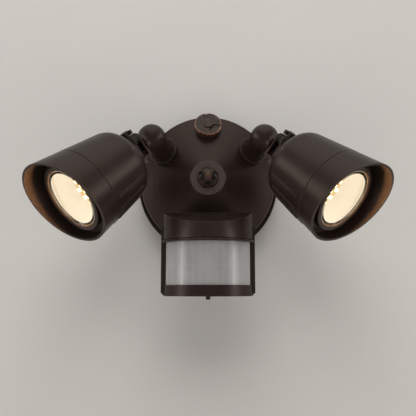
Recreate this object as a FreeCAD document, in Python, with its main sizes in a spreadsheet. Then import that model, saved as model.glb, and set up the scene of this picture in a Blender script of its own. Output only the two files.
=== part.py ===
"""A wall-mounted security light: a domed canopy, two hooded lamp heads on forked arms and a motion sensor.

The origin is the centre of the crossbar's back face on the wall. X points to the viewer's right, the front
faces -Y and Z points up. All sizes are millimetres and degrees.
"""
import FreeCAD, Part
import math
import os

import Sketcher
from FreeCAD import Placement, Rotation, Vector

DRIVING_SIZES = (
    # canopy
    ("canopy_radius", 65.0),
    ("flange_thickness", 2.2),
    ("rim_width", 3.6),
    ("rim_groove_width", 1.4),
    ("rim_groove_depth", 1.0),
    ("skirt_draft", 0.5),
    ("bead_foot_height", 17.0),
    ("bead_height", 21.2),
    ("bead_draw", 1.7),
    ("bead_round", 2.6),
    ("cone_angle", 23.0),
    ("seat_radius", 16.5),
    ("seat_bevel", 1.0),
    ("seat_step", 0.8),
    ("canopy_wall", 2.2),
    # wall gasket
    ("gasket_thickness", 2.5),
    ("gasket_inset", 0.5),
    ("gasket_width", 5.0),
    # crossbar and lamp pipe
    ("crossbar_end_gap", 7.2),
    ("crossbar_width", 20.0),
    ("crossbar_thickness", 2.0),
    ("slot_spacing", 79.4),
    ("slot_length", 14.3),
    ("slot_width", 4.8),
    ("ground_screw_offset", 20.0),
    ("ground_screw_radius", 2.0),
    ("ground_head_radius", 4.2),
    ("ground_head_height", 2.4),
    ("pipe_radius", 4.8),
    ("pipe_bore_radius", 3.0),
    ("pipe_nut_radius", 8.4),
    ("pipe_nut_height", 4.0),
    ("cap_washer_radius", 9.6),
    ("cap_washer_thickness", 1.0),
    ("cap_nut_radius", 9.0),
    ("cap_nut_band", 2.4),
    ("cap_nut_dome", 6.4),
    ("cap_nut_depth", 5.6),
    # threaded bosses on the canopy
    ("boss_radius", 12.75),
    ("boss_depth", 4.5),
    ("thread_radius", 10.2),
    ("arm_boss_height", 7.0),
    ("arm_boss_place", 46.0),
    ("arm_boss_azimuth", 33.0),
    ("boss_round", 1.2),
    ("boss_groove_radius", 11.1),
    ("boss_groove_depth", 1.8),
    ("plug_boss_height", 3.4),
    ("plug_boss_place", 48.6),
    ("sensor_boss_height", 2.4),
    ("sensor_boss_place", 44.0),
    ("sensor_boss_radius", 9.0),
    # closure plug
    ("plug_flange_radius", 12.2),
    ("plug_flange_thickness", 3.2),
    ("plug_gasket_radius", 11.0),
    ("plug_gasket_thickness", 1.3),
    ("plug_hub_radius", 5.2),
    ("plug_hub_height", 1.3),
    ("plug_slot_width", 1.7),
    ("plug_recess_depth", 1.2),
    ("plug_recess_angle", 75.0),
    ("plug_shank_length", 9.0),
    # lamp arm
    ("arm_reach", 31.0),
    ("ball_radius", 12.3),
    ("neck_radius", 9.9),
    ("ball_seat_radius", 9.0),
    ("ball_seat", 12.0),
    ("nipple_tail", 9.6),
    ("nipple_bore_radius", 6.4),
    ("wire_bore_radius", 3.2),
    ("lock_nut_radius", 13.4),
    ("lock_nut_height", 3.2),
    ("head_yaw", 48.2),
    ("head_pitch", 37.8),
    ("pivot_lean", 6.0),
    ("rest_tilt", 6.0),
    ("hub_offset", 2.4),
    # fork, rivet and clamp
    ("fork_lower_gap", 8.5),
    ("fork_upper_gap", 10.3),
    ("fork_thickness", 2.4),
    ("fork_floor", 5.8),
    ("fork_width", 14.0),
    ("fork_tip", 5.6),
    ("fork_bend", 1.4),
    ("fork_upper_bend", 6.0),
    ("fork_tip_round", 5.4),
    ("rivet_radius", 3.6),
    ("rivet_bore_radius", 2.3),
    ("rivet_flange_radius", 4.8),
    ("rivet_flange", 0.6),
    ("rivet_depth", 6.0),
    ("pivot_radius", 2.4),
    ("knob_core_radius", 4.8),
    ("knob_lobe_radius", 2.3),
    ("knob_lobes", 6),
    ("knob_height", 3.6),
    ("knob_dome", 0.9),
    ("knob_washer", 0.3),
    ("pivot_nut_radius", 4.9),
    ("pivot_nut_height", 3.8),
    ("pivot_screw_end", 1.0),
    # lamp head
    ("hub_radius", 4.9),
    ("hub_collar_radius", 3.4),
    ("hub_collar_start", 3.6),
    ("tail_radius", 15.3),
    ("tail_distance", 7.8),
    ("crown_radius", 16.0),
    ("crown_distance", 12.0),
    ("shoulder_radius", 30.6),
    ("shoulder_distance", 25.6),
    ("shoulder_round", 15.0),
    ("seam_radius", 35.0),
    ("seam_distance", 61.1),
    ("seam_width", 0.6),
    ("spigot_radius", 32.2),
    ("spigot_length", 6.0),
    ("spigot_wall", 2.6),
    ("cavity_floor", 23.0),
    ("cavity_radius", 25.0),
    ("rib_height", 1.3),
    ("rib_width", 1.8),
    ("rib_count", 5),
    ("rib_spread", 80.0),
    ("rib_end_gap", 4.0),
    ("rib_start_gap", 1.0),
    ("rib_azimuth", 21.0),
    # hood
    ("hood_length", 22.1),
    ("hood_flare", 6.0),
    ("hood_wall", 1.8),
    ("hood_floor", 2.4),
    ("hood_floor_radius", 34.0),
    ("visor_slant", 9.3),
    ("visor_azimuth", 25.0),
    # lens stack
    ("bezel_radius", 28.7),
    ("bezel_wall", 1.8),
    ("bezel_front", 76.5),
    ("bezel_lip", 1.2),
    ("bezel_opening", 24.3),
    ("bezel_flange", 0.9),
    ("lens_thickness", 2.7),
    ("lens_gasket_thickness", 1.1),
    ("lens_gasket_width", 2.1),
    ("reflector_wall", 1.2),
    ("reflector_rim", 1.2),
    ("reflector_throat", 16.0),
    ("board_radius", 20.0),
    ("board_thickness", 1.2),
    ("board_distance", 55.8),
    ("chip_ring_radius", 13.0),
    ("chip_size", 3.5),
    ("chip_height", 0.8),
    ("chip_count", 8),
    ("spreader_thickness", 3.1),
    ("driver_length", 34.0),
    ("driver_width", 24.0),
    ("driver_height", 18.0),
    # sensor arm and fork
    ("sensor_thread_radius", 6.4),
    ("sensor_reach", 12.0),
    ("sensor_ball_radius", 8.0),
    ("sensor_neck_radius", 7.0),
    ("sensor_ball_seat_radius", 6.2),
    ("sensor_ball_seat", 6.6),
    ("sensor_nipple_tail", 8.0),
    ("sensor_nipple_bore_radius", 4.4),
    ("sensor_wire_bore_radius", 2.2),
    ("sensor_lock_nut_radius", 9.0),
    ("sensor_lock_nut_height", 2.6),
    ("sensor_fork_lower_gap", 7.0),
    ("sensor_fork_upper_gap", 7.0),
    ("sensor_fork_thickness", 2.0),
    ("sensor_fork_floor", 7.0),
    ("sensor_fork_width", 12.0),
    ("sensor_fork_tip", 6.5),
    ("sensor_fork_bend", 2.6),
    ("sensor_fork_upper_bend", 2.6),
    ("sensor_fork_tip_round", 5.6),
    ("sensor_rivet_radius", 3.2),
    ("sensor_rivet_bore_radius", 2.0),
    ("sensor_rivet_flange_radius", 4.4),
    ("sensor_rivet_flange", 0.8),
    ("sensor_rivet_depth", 4.0),
    ("sensor_pivot_radius", 2.0),
    ("sensor_knob_core_radius", 4.4),
    ("sensor_knob_lobe_radius", 1.9),
    ("sensor_knob_height", 4.6),
    ("sensor_knob_dome", 0.9),
    ("sensor_pivot_nut_radius", 4.1),
    ("sensor_pivot_nut_height", 3.0),
    # sensor housing, measured from its pivot
    ("sensor_hub_radius", 5.6),
    ("sensor_web_height", 9.0),
    ("sensor_rear", 12.4),
    ("sensor_back_depth", 7.9),
    ("sensor_back_half_width", 39.2),
    ("sensor_back_top", 19.3),
    ("sensor_back_bottom", 36.8),
    ("sensor_back_round", 3.0),
    ("sensor_wall", 2.2),
    ("sensor_foot_size", 3.0),
    ("sensor_foot_height", 1.6),
    ("sensor_corner", 23.4),
    ("sensor_hood_half_width", 36.9),
    ("sensor_hood_bulge", 22.0),
    ("sensor_hood_seam", 7.1),
    ("sensor_lip_height", 1.9),
    ("sensor_lip_overhang", 1.5),
    ("sensor_hood_crest", 30.8),
    ("sensor_hood_slope", 23.6),
    ("sensor_hood_recess", 4.0),
    ("fresnel_half_width", 34.8),
    ("fresnel_bulge", 20.0),
    ("fresnel_wall", 1.4),
    ("fresnel_engagement", 1.6),
    ("sensor_base_top", 29.9),
    ("sensor_base_height", 9.1),
    ("sensor_base_half_width", 35.9),
    ("sensor_base_bulge", 21.0),
    ("sensor_base_floor", 2.5),
    ("sensor_base_well", 24.0),
    ("sensor_board_half_width", 28.0),
    ("sensor_board_half_height", 20.5),
    ("sensor_board_centre", 8.5),
    ("sensor_board_thickness", 1.6),
    ("pyro_radius", 4.6),
    ("pyro_height", 4.3),
    ("pyro_drop", 12.0),
    ("dial_radius", 1.9),
    ("dial_length", 2.6),
    ("dial_place", 30.6),
    ("dial_collar_radius", 3.0),
    ("dial_collar_height", 1.0),
    ("sensor_screw_radius", 1.4),
    ("sensor_screw_head_radius", 2.7),
    ("sensor_screw_head_height", 1.5),
    ("sensor_screw_grip", 14.0),
    ("sensor_screw_spread", 31.0),
    ("sensor_screw_top", 13.5),
    ("sensor_screw_bottom", 33.6),
    # clearances
    ("thread_gap", 0.1),
    ("turning_gap", 0.1),
    ("side_gap", 0.2),
    ("pin_gap", 0.08),
    ("fit_gap", 0.1),
)

DOC = FreeCAD.newDocument("SecurityLight")
SHEET = DOC.addObject("Spreadsheet::Sheet", "Sizes")


class Size:
    """A length or angle that carries its value and the sheet expression it comes from."""

    def __init__(self, value, text):
        self.value = value
        self.text = text

    def join(self, sign, other, value):
        return Size(value, f"({self.text} {sign} {size(other).text})")

    def __add__(self, other):
        return self.join("+", other, self.value + size(other).value)

    def __radd__(self, other):
        return size(other) + self

    def __sub__(self, other):
        return self.join("-", other, self.value - size(other).value)

    def __rsub__(self, other):
        return size(other) - self

    def __mul__(self, other):
        return self.join("*", other, self.value * size(other).value)

    def __rmul__(self, other):
        return size(other) * self

    def __truediv__(self, other):
        return self.join("/", other, self.value / size(other).value)

    def __neg__(self):
        return Size(-self.value, f"(-1 * {self.text})")


def size(number):
    """Gives a plain number the form of a Size."""
    return number if isinstance(number, Size) else Size(float(number), repr(float(number)))


def tangent(angle):
    return Size(math.tan(math.radians(angle.value)), f"tan({angle.text} * 1 deg)")


class Sizes:
    """The driving sizes, each read by its name."""


def fill_sheet():
    """Writes the driving sizes into the sheet and returns them as named values."""
    sizes = Sizes()
    for row, (name, value) in enumerate(DRIVING_SIZES, 1):
        SHEET.set(f"A{row}", name)
        SHEET.set(f"B{row}", str(value))
        SHEET.setAlias(f"B{row}", name)
        setattr(sizes, name, Size(float(value), f"Sizes.{name}"))
    DOC.recompute()
    return sizes


S = fill_sheet()


# ---------------------------------------------------------------- features


def bind(feature, name, value):
    """Sets a size of a feature and ties it to the sheet."""
    value = size(value)
    setattr(feature, name, value.value)
    feature.setExpression(name, value.text)


def new_body(label):
    body = DOC.addObject("PartDesign::Body", label)
    body.Label = label
    return body


def origin_part(body, role):
    return next(part for part in body.Origin.OriginFeatures if part.Role == role)


def new_sketch(body, role, turn=0.0):
    """A sketch on one of the body's own planes, turned about the sketch's upright axis."""
    sketch = body.newObject("Sketcher::SketchObject", f"{body.Name}_sketch")
    sketch.AttachmentSupport = [(origin_part(body, role), "")]
    sketch.MapMode = "FlatFace"
    sketch.AttachmentOffset = Placement(Vector(), Rotation(Vector(0, 1, 0), turn))
    return sketch


def fix_coordinate(sketch, kind, line, end, value, axis):
    """Ties one coordinate of a point to its expression, or to the axis where it is zero."""
    if value.value == 0:
        sketch.addConstraint(Sketcher.Constraint("PointOnObject", line, end, axis))
        return
    if value.value > 0:
        rule = Sketcher.Constraint(kind, -1, 1, line, end, value.value)
    else:
        value = -value
        rule = Sketcher.Constraint(kind, line, end, -1, 1, value.value)
    index = sketch.addConstraint(rule)
    sketch.setExpression(f"Constraints[{index}]", value.text)


def arc_between(start, end, radius, turn):
    """The arc from start to end; turn is 1 when it bends to the left and -1 when it bends to the right."""
    chord = end - start
    middle = (start + end) * 0.5
    height = math.sqrt(radius**2 - (chord.Length / 2) ** 2)
    left = Vector(-chord.y, chord.x, 0).normalize()
    centre = middle + left * height * turn
    first, last = (start, end) if turn > 0 else (end, start)
    angles = [math.atan2(point.y - centre.y, point.x - centre.x) for point in (first, last)]
    return Part.ArcOfCircle(Part.Circle(centre, Vector(0, 0, 1), radius), *angles)


def outline(sketch, corners):
    """Draws a closed outline. A corner is (x, y), or (x, y, radius, turn) where an arc leads to it."""
    first = sketch.GeometryCount
    count = len(corners)
    points = [(size(corner[0]), size(corner[1])) for corner in corners]
    ends = []
    for index in range(count):
        target = corners[(index + 1) % count]
        start = Vector(points[index][0].value, points[index][1].value, 0)
        stop = Vector(*[part.value for part in points[(index + 1) % count]], 0)
        if len(target) == 4:
            sketch.addGeometry(arc_between(start, stop, size(target[2]).value, target[3]), False)
            ends.append((1, 2) if target[3] > 0 else (2, 1))
        else:
            sketch.addGeometry(Part.LineSegment(start, stop), False)
            ends.append((1, 2))
    for index in range(count):
        following = (index + 1) % count
        sketch.addConstraint(
            Sketcher.Constraint("Coincident", first + index, ends[index][1], first + following, ends[following][0])
        )
        fix_coordinate(sketch, "DistanceX", first + index, ends[index][0], points[index][0], -2)
        fix_coordinate(sketch, "DistanceY", first + index, ends[index][0], points[index][1], -1)
        target = corners[following]
        if len(target) == 4:
            radius = size(target[2])
            rule = sketch.addConstraint(Sketcher.Constraint("Radius", first + index, radius.value))
            sketch.setExpression(f"Constraints[{rule}]", radius.text)
    return sketch


def circle(sketch, x, y, radius):
    x, y, radius = size(x), size(y), size(radius)
    shape = Part.Circle(Vector(x.value, y.value, 0), Vector(0, 0, 1), radius.value)
    line = sketch.addGeometry(shape, False)
    fix_coordinate(sketch, "DistanceX", line, 3, x, -2)
    fix_coordinate(sketch, "DistanceY", line, 3, y, -1)
    rule = sketch.addConstraint(Sketcher.Constraint("Radius", line, radius.value))
    sketch.setExpression(f"Constraints[{rule}]", radius.text)
    return sketch


def rectangle(sketch, left, right, low, high):
    return outline(sketch, [(left, low), (right, low), (right, high), (left, high)])


def slot(sketch, x, length, width):
    """A slot with round ends along x, centred at (x, 0)."""
    straight = (length - width) / 2
    half = width / 2
    outline(
        sketch,
        [
            (x - straight, -half),
            (x + straight, -half),
            (x + straight + half, 0, half, 1),
            (x + straight, half, half, 1),
            (x - straight, half),
            (x - straight - half, 0, half, 1),
            (x - straight, -half, half, 1),
        ][:-1],
    )


def revolve(body, corners, turn=0.0):
    """Turns an outline of (radius, height) corners about the body's Z axis."""
    sketch = outline(new_sketch(body, "XZ_Plane", turn), corners)
    feature = body.newObject("PartDesign::Revolution", f"{body.Name}_turned")
    feature.Profile = sketch
    feature.ReferenceAxis = (sketch, ["V_Axis"])
    feature.Angle = 360
    sketch.Visibility = False
    return feature


def extrude(body, sketch, low, high, cut=False):
    """Pads or cuts a sketch from low to high along its normal; both are distances from its plane."""
    kind = "PartDesign::Pocket" if cut else "PartDesign::Pad"
    feature = body.newObject(kind, f"{body.Name}_{'pocket' if cut else 'pad'}")
    feature.Profile = sketch
    feature.SideType = "Two sides"
    if cut:
        low, high = -size(high), -size(low)
    bind(feature, "Length", high)
    bind(feature, "Length2", -size(low))
    return feature


def cut_through(body, sketch):
    feature = body.newObject("PartDesign::Pocket", f"{body.Name}_cut")
    feature.Profile = sketch
    feature.SideType = "Symmetric"
    feature.Type = "ThroughAll"
    return feature


def pad_both_ways(body, sketch, length):
    feature = body.newObject("PartDesign::Pad", f"{body.Name}_pad")
    feature.Profile = sketch
    feature.SideType = "Symmetric"
    bind(feature, "Length", length)
    return feature


def polar_pattern(body, feature, count, angle):
    pattern = body.newObject("PartDesign::PolarPattern", f"{body.Name}_pattern")
    pattern.Originals = [feature]
    pattern.Axis = (origin_part(body, "Z_Axis"), [""])
    bind(pattern, "Angle", angle)
    pattern.Occurrences = int(count.value)
    pattern.setExpression("Occurrences", count.text)
    body.Tip = pattern
    return pattern


def round_edges(body, radius, chosen):
    """Rounds the edges whose middle point passes the test."""
    DOC.recompute()
    base = body.Tip
    names = []
    for index, edge in enumerate(base.Shape.Edges, 1):
        middle = edge.valueAt((edge.FirstParameter + edge.LastParameter) / 2)
        if chosen(middle):
            names.append(f"Edge{index}")
    feature = body.newObject("PartDesign::Fillet", f"{body.Name}_fillet")
    feature.Base = (base, names)
    bind(feature, "Radius", radius)
    return feature


def cylinder(name, radius, height, place):
    solid = DOC.addObject("Part::Cylinder", name)
    bind(solid, "Radius", radius)
    bind(solid, "Height", height)
    solid.Placement = place
    return solid


def fuse(name, solids):
    joined = DOC.addObject("Part::MultiFuse", name)
    joined.Shapes = solids
    return joined


def cut(name, base, tools):
    """Cuts one or more tools out of the base."""
    result = DOC.addObject("Part::Cut", name)
    result.Base = base
    result.Tool = tools[0] if len(tools) == 1 else fuse(f"{name}_tools", tools)
    return result


def same(first, second):
    return abs(first - second) < 0.01


# ---------------------------------------------------------------- frames


def make_frame(origin, forward, aside):
    """A placement whose Z axis is forward and whose X axis lies nearest to aside."""
    z_axis = Vector(forward).normalize()
    x_axis = (aside - z_axis * aside.dot(z_axis)).normalize()
    return Placement(origin, Rotation(x_axis, z_axis.cross(x_axis), z_axis, "ZXY"))


def along(frame, distance):
    """The same frame moved along its own Z axis."""
    return frame * Placement(Vector(0, 0, size(distance).value), Rotation())


WALL = Placement(Vector(), Rotation(Vector(1, 0, 0), 90))
ORIGIN = Placement()
BEAD_TOP_RADIUS = S.canopy_radius - S.rim_width - S.skirt_draft - S.bead_draw
SEAT_FOOT = S.bead_height + (BEAD_TOP_RADIUS - S.seat_radius) * tangent(S.cone_angle)
SEAT_TOP = SEAT_FOOT + S.seat_step
BALL_TO_PIVOT = S.ball_seat + S.turning_gap + S.fork_thickness + S.fork_floor
SENSOR_BALL_TO_PIVOT = S.sensor_ball_seat + S.turning_gap + S.sensor_fork_thickness + S.sensor_fork_floor


def boss_frame(place, azimuth):
    """The frame on the cone's surface at a radius and azimuth, with Z along the cone's normal."""
    lean = math.radians(S.cone_angle.value)
    turn = math.radians(azimuth)
    height = S.bead_height.value + (BEAD_TOP_RADIUS.value - place.value) * math.tan(lean)
    outward = Vector(math.cos(turn), math.sin(turn), 0)
    origin = outward * place.value + Vector(0, 0, height)
    normal = outward * math.sin(lean) + Vector(0, 0, math.cos(lean))
    return make_frame(origin, normal, outward)


def arm_azimuth(side):
    return S.arm_boss_azimuth.value if side > 0 else 180 - S.arm_boss_azimuth.value


def head_direction(side):
    yaw, pitch = math.radians(S.head_yaw.value), math.radians(S.head_pitch.value)
    return Vector(
        side * math.sin(yaw) * math.cos(pitch),
        -math.cos(yaw) * math.cos(pitch),
        -math.sin(pitch),
    )


def pivot_direction(side):
    """The clamp screw's axis: upright, square to the head's axis, with a small lean outwards."""
    yaw, lean = math.radians(S.head_yaw.value), math.radians(S.pivot_lean.value)
    forward = head_direction(side)
    outward = Vector(side * math.cos(yaw), math.sin(yaw), 0)
    upward = (Vector(0, 0, 1) - forward * forward.z).normalize()
    return upward * math.cos(lean) + outward * math.sin(lean)


def fork_direction(side):
    """The fork's axis: the head's axis turned back about the clamp screw by the tilt it has at rest."""
    back = Rotation(pivot_direction(side), side * S.rest_tilt.value)
    return back.multVec(head_direction(side))


def elbow_frame(side):
    """Z runs out along the arm's thread, and X leans towards the fork."""
    boss = WALL * boss_frame(S.arm_boss_place, arm_azimuth(side))
    return make_frame(boss.Base, boss.Rotation.multVec(Vector(0, 0, 1)), fork_direction(side))


def fork_frame(side):
    """The origin is the tilt pivot, Z is the fork's axis and X is the clamp screw's axis."""
    ball = along(elbow_frame(side), S.arm_reach).Base
    pivot = ball + fork_direction(side) * BALL_TO_PIVOT.value
    return make_frame(pivot, fork_direction(side), pivot_direction(side))


def head_frame(side):
    """Z is the head's axis, which passes the clamp screw a little below the fork's middle."""
    middle = fork_frame(side).Base - pivot_direction(side) * S.hub_offset.value
    return make_frame(middle, head_direction(side), pivot_direction(side))


def sensor_elbow_frame():
    boss = WALL * boss_frame(S.sensor_boss_place, 270)
    return make_frame(boss.Base, boss.Rotation.multVec(Vector(0, 0, 1)), Vector(0, 0, -1))


def sensor_fork_frame():
    """Z points down the fork and X along its clamp screw."""
    ball = along(sensor_elbow_frame(), S.sensor_reach).Base
    pivot = ball + Vector(0, 0, -SENSOR_BALL_TO_PIVOT.value)
    return make_frame(pivot, Vector(0, 0, -1), Vector(1, 0, 0))


def sensor_frame():
    return Placement(sensor_fork_frame().Base, Rotation())


def clamp_frame(frame):
    """The frame of a fork's clamp screw: Z along the screw, towards its knob."""
    return frame * Placement(Vector(), Rotation(Vector(0, 1, 0), 90))


# ---------------------------------------------------------------- simple pieces


def turned_piece(label, corners, frame):
    body = new_body(label)
    revolve(body, corners)
    body.Placement = frame
    return body


def tube_piece(label, bore, radius, low, high, frame):
    return turned_piece(label, [(bore, low), (radius, low), (radius, high), (bore, high)], frame)


def disc_piece(label, radius, low, high, frame):
    return turned_piece(label, [(0, low), (radius, low), (radius, high), (0, high)], frame)


def hex_nut(label, radius, height, bore, frame):
    prism = DOC.addObject("Part::Prism", f"{label}_prism")
    prism.Polygon = 6
    bind(prism, "Circumradius", radius)
    bind(prism, "Height", height)
    nut = cut(label, prism, [cylinder(f"{label}_bore", bore, height, ORIGIN)])
    nut.Placement = frame
    return nut


# ---------------------------------------------------------------- canopy and mounting


def canopy_shell():
    skirt = S.canopy_radius - S.rim_width
    flange_top = S.gasket_thickness + S.flange_thickness
    groove = skirt + S.rim_groove_width
    wall = S.canopy_wall
    hole = S.pipe_radius + S.thread_gap
    body = new_body("canopy_shell")
    revolve(
        body,
        [
            (skirt - wall, S.gasket_thickness),
            (S.canopy_radius, S.gasket_thickness),
            (S.canopy_radius, flange_top),
            (groove, flange_top),
            (groove, flange_top - S.rim_groove_depth),
            (skirt, flange_top - S.rim_groove_depth),
            (skirt - S.skirt_draft, S.bead_foot_height),
            (BEAD_TOP_RADIUS, S.bead_height, S.bead_round, 1),
            (S.seat_radius, SEAT_FOOT),
            (S.seat_radius - S.seat_bevel, SEAT_TOP),
            (hole, SEAT_TOP),
            (hole, SEAT_FOOT - wall),
            (S.seat_radius - wall, SEAT_FOOT - wall),
            (BEAD_TOP_RADIUS - wall, S.bead_height - wall),
            (skirt - S.skirt_draft - wall, S.bead_foot_height - wall),
        ],
    )
    return body


def boss(name, radius, height, foot):
    """A round boss with a soft outer edge."""
    top = height + S.boss_depth
    body = new_body(f"{name}_boss")
    revolve(body, [(0, 0), (radius, 0), (radius, top - S.boss_round), (radius - S.boss_round, top, S.boss_round, 1), (0, top)])
    body.Placement = foot
    return body


def canopy_cover():
    """The domed shell with its four bosses, each bored for its thread; the arms' bosses have a groove at the neck."""
    hollows = [
        ("right_arm", S.arm_boss_place, arm_azimuth(1), S.boss_radius, S.arm_boss_height, S.thread_radius),
        ("left_arm", S.arm_boss_place, arm_azimuth(-1), S.boss_radius, S.arm_boss_height, S.thread_radius),
        ("plug", S.plug_boss_place, 90, S.boss_radius, S.plug_boss_height, S.thread_radius),
        ("sensor", S.sensor_boss_place, 270, S.sensor_boss_radius, S.sensor_boss_height, S.sensor_thread_radius),
    ]
    bosses, bores = [], []
    for name, place, azimuth, radius, height, thread in hollows:
        foot = along(boss_frame(place, azimuth), -S.boss_depth)
        bosses.append(boss(name, radius, height, foot))
        bores.append(cylinder(f"{name}_bore", thread + S.thread_gap, height + 2 * S.boss_depth, along(foot, -S.boss_depth)))
        if name.endswith("arm"):
            mouth = along(foot, S.boss_depth + height - S.boss_groove_depth)
            bores.append(cylinder(f"{name}_groove", S.boss_groove_radius, S.boss_depth, mouth))
    cover = cut("canopy_cover", fuse("canopy_with_bosses", [canopy_shell(), *bosses]), bores)
    cover.Placement = WALL
    return cover


def wall_gasket():
    outer = S.canopy_radius - S.gasket_inset
    return tube_piece("wall_gasket", outer - S.gasket_width, outer, 0, S.gasket_thickness, WALL)


def crossbar():
    """A flat strap with round ends, two slots for the box screws, the pipe's hole and an earth screw's hole."""
    body = new_body("crossbar")
    sketch = new_sketch(body, "XY_Plane")
    reach = S.canopy_radius - S.rim_width - S.canopy_wall - S.crossbar_end_gap
    slot(sketch, size(0), reach * 2, S.crossbar_width)
    slot(sketch, S.slot_spacing / 2, S.slot_length, S.slot_width)
    slot(sketch, -S.slot_spacing / 2, S.slot_length, S.slot_width)
    circle(sketch, 0, 0, S.pipe_radius + S.thread_gap)
    circle(sketch, -S.ground_screw_offset, 0, S.ground_screw_radius + S.thread_gap)
    extrude(body, sketch, 0, S.crossbar_thickness)
    body.Placement = WALL
    return body


def ground_screw():
    head = S.crossbar_thickness + S.ground_head_height
    place = WALL * Placement(Vector(-S.ground_screw_offset.value, 0, 0), Rotation())
    corners = [
        (0, 0),
        (S.ground_screw_radius, 0),
        (S.ground_screw_radius, S.crossbar_thickness),
        (S.ground_head_radius, S.crossbar_thickness),
        (S.ground_head_radius, head),
        (0, head),
    ]
    return turned_piece("ground_screw", corners, place)


def cap_nut():
    """The domed nut that pulls the canopy to the wall; its thread is blind."""
    foot = SEAT_TOP + S.cap_washer_thickness
    band = foot + S.cap_nut_band
    bore = S.pipe_radius + S.thread_gap
    dome_radius = (S.cap_nut_radius * S.cap_nut_radius + S.cap_nut_dome * S.cap_nut_dome) / (S.cap_nut_dome * 2)
    corners = [
        (bore, foot),
        (S.cap_nut_radius, foot),
        (S.cap_nut_radius, band),
        (0, band + S.cap_nut_dome, dome_radius, 1),
        (0, foot + S.cap_nut_depth),
        (bore, foot + S.cap_nut_depth),
    ]
    return turned_piece("cap_nut", corners, WALL)


def mounting_pieces():
    bore = S.pipe_radius + S.thread_gap
    pipe_end = SEAT_TOP + S.cap_washer_thickness + S.cap_nut_depth - S.thread_gap
    return [
        crossbar(),
        ground_screw(),
        tube_piece("center_nipple", S.pipe_bore_radius, S.pipe_radius, 0, pipe_end, WALL),
        hex_nut("nipple_nut", S.pipe_nut_radius, S.pipe_nut_height, bore, along(WALL, S.crossbar_thickness)),
        tube_piece("cap_nut_washer", bore, S.cap_washer_radius, SEAT_TOP, SEAT_TOP + S.cap_washer_thickness, WALL),
        cap_nut(),
    ]


def closure_plug():
    """A screw-in plug: a slotted flange with a round hub and one sunk sector."""
    seat = S.plug_boss_height + S.plug_gasket_thickness
    face = seat + S.plug_flange_thickness
    body = new_body("closure_plug")
    revolve(
        body,
        [
            (0, seat - S.plug_shank_length),
            (S.thread_radius, seat - S.plug_shank_length),
            (S.thread_radius, seat),
            (S.plug_flange_radius, seat),
            (S.plug_flange_radius, face),
            (S.plug_hub_radius, face),
            (S.plug_hub_radius, face + S.plug_hub_height),
            (0, face + S.plug_hub_height),
        ],
    )
    half = S.plug_slot_width / 2
    reach = S.plug_flange_radius * 2
    slit = rectangle(new_sketch(body, "XY_Plane"), S.plug_hub_radius, reach, -half, half)
    extrude(body, slit, face - S.plug_recess_depth, face + S.plug_hub_height, cut=True)
    slope = tangent(S.plug_recess_angle / 2)
    sector = outline(
        new_sketch(body, "XY_Plane"),
        [
            (-S.plug_hub_radius, S.plug_hub_radius * slope),
            (-reach, reach * slope),
            (-reach, -reach * slope),
            (-S.plug_hub_radius, -S.plug_hub_radius * slope),
        ],
    )
    extrude(body, sector, face - S.plug_recess_depth, face, cut=True)
    body.Placement = WALL * boss_frame(S.plug_boss_place, 90)
    return body


def closure_pieces():
    frame = WALL * boss_frame(S.plug_boss_place, 90)
    low = S.plug_boss_height
    high = low + S.plug_gasket_thickness
    bore = S.thread_radius + S.thread_gap
    return [
        closure_plug(),
        tube_piece("closure_plug_gasket", bore, S.plug_gasket_radius, low, high, frame),
    ]


# ---------------------------------------------------------------- knuckles


class Knuckle:
    """The sizes of one kind of elbow, fork and clamp."""

    def __init__(self, prefix):
        self.prefix = prefix

    def __getattr__(self, name):
        return getattr(S, f"{self.prefix}{name}")


LAMP_KNUCKLE = Knuckle("")
SENSOR_KNUCKLE = Knuckle("sensor_")


def elbow(label, sizes, reach, frame, bend):
    """The cast elbow: a hollow threaded nipple, a neck and a ball with a flat seat for the fork."""
    ball = Placement(Vector(0, 0, reach.value), Rotation(Vector(0, 1, 0), bend))
    sphere = DOC.addObject("Part::Sphere", f"{label}_ball")
    bind(sphere, "Radius", sizes.ball_radius)
    sphere.Placement = ball
    boss = S.arm_boss_height if sizes is LAMP_KNUCKLE else S.sensor_boss_height
    solid = fuse(
        f"{label}_solid",
        [
            cylinder(f"{label}_nipple", sizes.thread_radius, sizes.nipple_tail + boss, along(ORIGIN, -sizes.nipple_tail)),
            cylinder(f"{label}_neck", sizes.neck_radius, reach - boss, along(ORIGIN, boss)),
            sphere,
            cylinder(f"{label}_seat", sizes.ball_seat_radius, sizes.ball_seat, ball),
        ],
    )
    tools = [
        cylinder(f"{label}_nipple_bore", sizes.nipple_bore_radius, sizes.nipple_tail + reach, along(ORIGIN, -sizes.nipple_tail)),
        cylinder(f"{label}_wire_bore", sizes.wire_bore_radius, sizes.ball_seat, ball),
        cylinder(
            f"{label}_rivet_bore",
            sizes.rivet_radius + S.pin_gap,
            sizes.rivet_depth + sizes.ball_radius,
            along(ball, sizes.ball_seat - sizes.rivet_depth),
        ),
        cylinder(f"{label}_face", sizes.ball_radius + sizes.ball_seat, sizes.ball_radius, along(ball, sizes.ball_seat)),
    ]
    piece = cut(label, solid, tools)
    piece.Placement = frame
    return piece


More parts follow.
